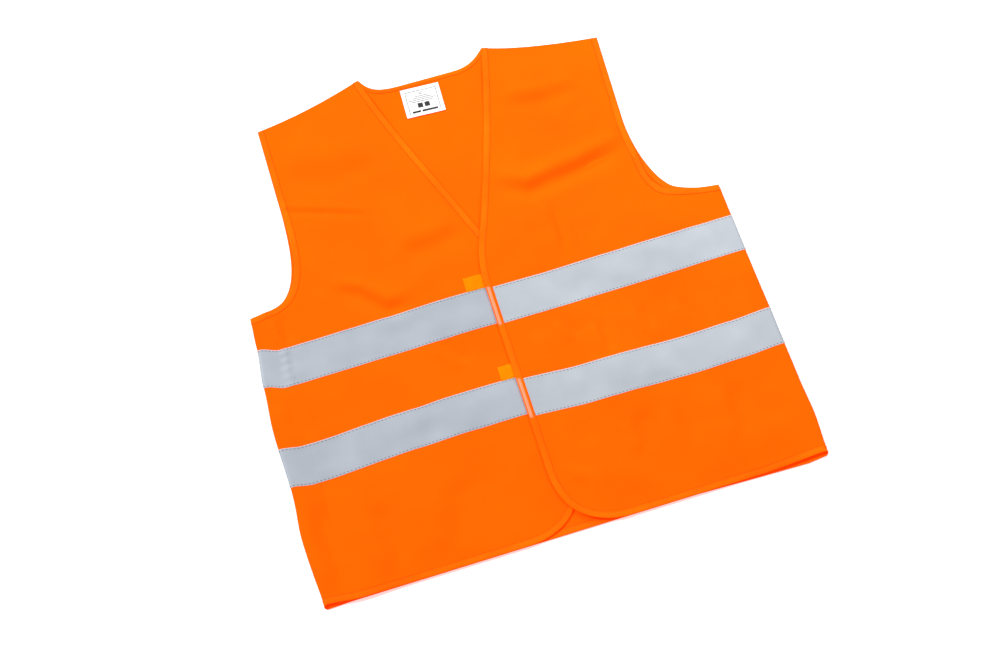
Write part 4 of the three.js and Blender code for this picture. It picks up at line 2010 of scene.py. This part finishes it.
@dataclass(frozen=True)
class Seams:
    """The turned and overlocked seams at the shoulders and sides."""

    wardrobe: Wardrobe
    allowance: float = 6.0

    def lip(self, side: Side, front: Panel, back: Panel) -> Piece:
        """The rounded edge where a front and the back meet along the shoulder.

        Args:
            side: The shoulder's side.
            front: The front's panel.
            back: The back's panel.

        Returns:
            The edge's piece.
        """
        line = spaced(PLAN.shoulder[side], 3)
        top = front.place(line[:, 0], line[:, 1], CLOTH / 2)
        low = back.place(line[:, 0], line[:, 1], CLOTH / 2)
        outward = moved_inward(line, 1.0, side.value) - line
        rings = []
        for angle in np.linspace(0, math.pi, 9):
            share = (1 - math.cos(angle)) / 2
            ring = top * (1 - share) + low * share
            reach = np.abs(top[:, 2] - low[:, 2]) / 2 * math.sin(angle)
            ring[:, :2] += outward * reach[:, None]
            rings.append(ring)
        rings = [top - np.column_stack([outward * 2, np.full(len(line), 0.05)])] + rings
        points = np.stack(rings, axis=1).reshape(-1, 3)
        faces = grid_faces(len(line), len(rings), side is Side.LEFT)
        uv = pairs(lengths(line), np.arange(len(rings)) * 0.6)
        return new_piece(f"{side.word}_shoulder_seam_edge", points, faces, self.wardrobe.cloth, uv)

    def overlock(self, name: str, panel: Panel, line: Points, hand: int) -> list[Piece]:
        """A seam allowance inside the vest: a strip of both cloths and its slanting edge stitches.

        Args:
            name: The start of the pieces' names.
            panel: The panel it lies under.
            line: The seam's pattern line.
            hand: 1 where the allowance lies to the line's left, and -1 to its right.

        Returns:
            The strip and its thread.
        """
        dense = spaced(line, 4)
        across = np.linspace(0, self.allowance, 6)
        rings = [moved_inward(dense, a, hand) for a in across]
        lift = [-(CLOTH + 0.25 + 0.25 * math.sin(a / self.allowance * math.pi)) for a in across]
        laid_rings = [panel.place(ring[:, 0], ring[:, 1], height) for ring, height in zip(rings, lift)]
        points = np.stack(laid_rings, axis=1).reshape(-1, 3)
        faces = grid_faces(len(dense), len(across), hand * panel.facing < 0)
        uv = pairs(lengths(dense), across)
        strip = new_piece(f"{name}_allowance", points, faces, self.wardrobe.cloth, uv)
        thicken(strip, 2 * CLOTH)
        zigzag = moved_inward(dense, self.allowance - 1.2, hand)
        sewing = Stitching(spacing=2.0, length=3.4, width=0.4, wander=0.5, seed=12)
        rows = [(zigzag, lift[-1] - CLOTH - 0.1)]
        return [strip, sewing.make(f"{name}_overlock", panel, rows, self.wardrobe.orange_thread)]

    def build(self, fronts: dict[Side, Panel], back: Panel) -> None:
        """Makes the shoulder and side seams.

        Args:
            fronts: The panel of each front.
            back: The back's panel.
        """
        for side in Side:
            word = side.word
            lip = self.lip(side, fronts[side], back)
            shoulder = part(moved_inward(PLAN.shoulder[side], 1.5, -side.value), 12, -12)
            strip = self.overlock(f"{word}_shoulder_seam", back, shoulder, -side.value)
            x = SIDE_SEAM[side]
            bend = SEAM_BEND[:-1] if side is Side.RIGHT else ((x, UNDERARM - 15),)
            line = np.array([(x, 12.0), *bend])
            panel = fronts[side] if side is Side.RIGHT else back
            side_strip = self.overlock(f"{word}_side_seam", panel, line, hand=1)
            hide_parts(f"{word}_shoulder_seam")
            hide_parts(f"{word}_side_seam")
            for piece in (lip, *strip, *side_strip):
                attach(piece, "root")
        LOG.info("seams: shoulders and sides")


@dataclass(frozen=True)
class NeckLabel:
    """The white label inside the back neck, with plain rules printed on it."""

    wardrobe: Wardrobe
    tilt: float = math.radians(-2.2)
    thickness: float = 0.18
    frame_inset: float = 5.0

    PRINT_LIFT = 0.08

    def sizes(self) -> tuple[float, float, float, float]:
        """The label's left, top, width and height."""
        low, high = LABEL_BOX
        return low.x, high.y - HEM_Y, high.x - low.x, high.y - low.y

    def lay(self, u: Points, v: Points, lift: float, panel: Panel) -> Points:
        """Places on the label, from its top left corner rightwards and down, laid on the back's inside.

        Args:
            u: Distances to the right of the top left corner.
            v: Distances down from it.
            lift: How far off the label's middle the places are.
            panel: The back's panel.

        Returns:
            The points, one a row.
        """
        left, top, _, height = self.sizes()
        x = left + u * math.cos(self.tilt) - v * math.sin(-self.tilt)
        y = top + u * math.sin(self.tilt) - v * math.cos(self.tilt)
        curl = 0.9 * eased((v / height - 0.55) / 0.45) + 0.15 * np.sin(u / 9)
        return panel.place(x, y, -(CLOTH / 2 + self.thickness / 2 + 0.1 + lift + np.maximum(curl, 0)))

    def rule(self, u0: float, u1: float, v0: float, v1: float, panel: Panel) -> tuple[Points, list]:
        """A printed rectangle as a fine grid.

        Args:
            u0: Its left end.
            u1: Its right end.
            v0: Its top.
            v1: Its bottom.
            panel: The back's panel.

        Returns:
            The grid's points and its quads.
        """
        us = np.linspace(u0, u1, max(2, round((u1 - u0) / 2) + 1))
        vs = np.linspace(v0, v1, max(2, round((v1 - v0) / 2) + 1))
        flat = pairs(us, vs)
        points = self.lay(flat[:, 0], flat[:, 1], self.thickness / 2 + self.PRINT_LIFT, panel)
        return points, grid_faces(len(us), len(vs), True)

    def printed(self, name: str, rules: Sequence[tuple], material: Material, panel: Panel) -> Piece:
        """Several printed rectangles as one piece.

        Args:
            name: The piece's name.
            rules: Each rectangle's left, right, top and bottom.
            material: The print.
            panel: The back's panel.

        Returns:
            The piece.
        """
        points, faces = [], []
        for rule in rules:
            first = sum(len(p) for p in points)
            made, quads = self.rule(*rule, panel)
            points.append(made)
            faces += [tuple(first + i for i in quad) for quad in quads]
        return new_piece(name, np.concatenate(points), faces, material)

    def build(self, panel: Panel) -> None:
        """Makes the label and its print.

        Args:
            panel: The back's panel.
        """
        _, _, width, height = self.sizes()
        columns, rows = 36, 30
        flat = pairs(np.linspace(0, width, columns), np.linspace(0, height, rows))
        points = self.lay(flat[:, 0], flat[:, 1], 0.0, panel)
        faces = grid_faces(columns, rows, True)
        sheet = new_piece("label_cloth", points, faces, self.wardrobe.label, flat)
        thicken(sheet, self.thickness)
        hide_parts("neck_label")
        inset, line = self.frame_inset, 0.8
        border = [
            (inset, width - inset, inset, inset + line),
            (inset, inset + line, inset, height - inset + 1),
            (width - inset - line, width - inset, inset, height - inset + 1),
        ]
        middle = width / 2
        lines = [
            (middle - half, middle + half, v, v + 0.9)
            for half, v in ((2.5, 8.0), (2.5, 10.0), (9, 13.2), (13, 15.8), (18, 18.4), (15, 21.0))
        ]
        emblem = [(middle - 8, middle - 1.2, 24.0, 31.0), (middle + 1.2, middle + 8, 24.0, 31.0)]
        bars = [(middle - 17, middle - 6, 35, 38.0), (middle - 4, middle + 17, 35, 38.0)]
        pale = self.printed("label_rules", border + lines, self.wardrobe.pale_print, panel)
        dark = self.printed("label_bars", emblem + bars, self.wardrobe.print, panel)
        for piece in (sheet, pale, dark):
            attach(piece, "label")
        LOG.info("neck label: cloth, rules and bars")


@dataclass(frozen=True)
class Studio:
    """The camera, the floor and the lights."""

    focal_length: float = 55.7
    azimuth: float = -17.35
    elevation: float = 70.0
    distance: float = 1930.0
    aim: tuple[float, float, float] = (-17.0, -62.75, 0.0)
    floor_size: float = 9.0
    floor_glow: float = 0.45
    sky: float = 0.36

    def build(self) -> None:
        """Sets the scene up."""
        self.camera()
        self.floor()
        self.light("key", (-3.5, 2.7, 3.9), 1.0, 330.0)
        self.light("fill", (0.9, 0.9, 1.1), 0.9, 21.0)
        world = bpy.data.worlds.new("studio")
        world.use_nodes = True
        background = world.node_tree.nodes["Background"]
        background.inputs["Color"].default_value = (1, 1, 1, 1)
        background.inputs["Strength"].default_value = self.sky
        bpy.context.scene.world = world
        bpy.context.scene.view_settings.view_transform = "Standard"
        LOG.info("studio: camera, floor and lights")

    def camera(self) -> None:
        """The camera, from below the hem and high above the vest."""
        a, e = math.radians(self.azimuth), math.radians(self.elevation)
        back = Vector((math.sin(a) * math.cos(e), -math.cos(a) * math.cos(e), math.sin(e)))
        camera = bpy.data.objects.new("camera", bpy.data.cameras.new("camera"))
        camera.data.lens = self.focal_length
        camera.location = (Vector(self.aim) + back * self.distance) * MM
        camera.rotation_mode = "QUATERNION"
        camera.rotation_quaternion = (-back).to_track_quat("-Z", "Y")
        bpy.context.scene.collection.objects.link(camera)
        bpy.context.scene.camera = camera

    def floor(self) -> None:
        """A plain pale floor just under the vest."""
        half, level = self.floor_size / 2, -0.0002
        mesh = bpy.data.meshes.new("floor")
        corners = [(-half, -half, level), (half, -half, level), (half, half, level), (-half, half, level)]
        mesh.from_pydata(corners, [], [(0, 1, 2, 3)])
        material, _, shader = new_material("floor")
        shader.inputs["Base Color"].default_value = (0.80, 0.80, 0.80, 1)
        shader.inputs["Roughness"].default_value = 0.9
        shader.inputs["Specular IOR Level"].default_value = 0.1
        shader.inputs["Emission Color"].default_value = (1, 1, 1, 1)
        shader.inputs["Emission Strength"].default_value = self.floor_glow
        mesh.materials.append(material)
        floor = bpy.data.objects.new("floor", mesh)
        bpy.context.scene.collection.objects.link(floor)

    def light(self, name: str, place: tuple[float, float, float], size: float, power: float) -> None:
        """A soft square light that looks at the vest.

        Args:
            name: The light's name.
            place: Where it stands, in metres.
            size: The square's side, in metres.
            power: Its power, in watts.
        """
        lamp = bpy.data.lights.new(name, "AREA")
        lamp.size, lamp.energy = size, power
        holder = bpy.data.objects.new(name, lamp)
        holder.location = place
        holder.rotation_mode = "QUATERNION"
        holder.rotation_quaternion = (-Vector(place)).to_track_quat("-Z", "Y")
        bpy.context.scene.collection.objects.link(holder)


GROUPS = {"knit": knit_group(), "mottle": mottle_group()}
TREES = {"stitches": stitch_tree(), "pile": pile_tree()}


def main() -> None:
    """Builds the vest around its frame, piece by piece."""
    logging.basicConfig(level=logging.INFO, format="%(message)s")
    Studio().build()
    wardrobe = Wardrobe()
    lay = Lay()
    back_field = Field(lay.back_height)
    right_field = Field(lay.right_height)
    left_field = Field(lay.left_height)
    back = Panel(back_field, right_field, turn=-1, facing=-1)
    right = Panel(right_field, back_field, turn=0, facing=1)
    left = Panel(left_field, back_field, turn=1, facing=1)
    Back(back, wardrobe).build()
    Front(Side.RIGHT, right, wardrobe).build()
    Front(Side.LEFT, left, wardrobe).build()
    for level in Level:
        Closure(level).build(right, left, wardrobe)
    Seams(wardrobe).build({Side.RIGHT: right, Side.LEFT: left}, back)
    NeckLabel(wardrobe).build(back)
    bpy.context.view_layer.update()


if __name__ == "__main__":
    main()
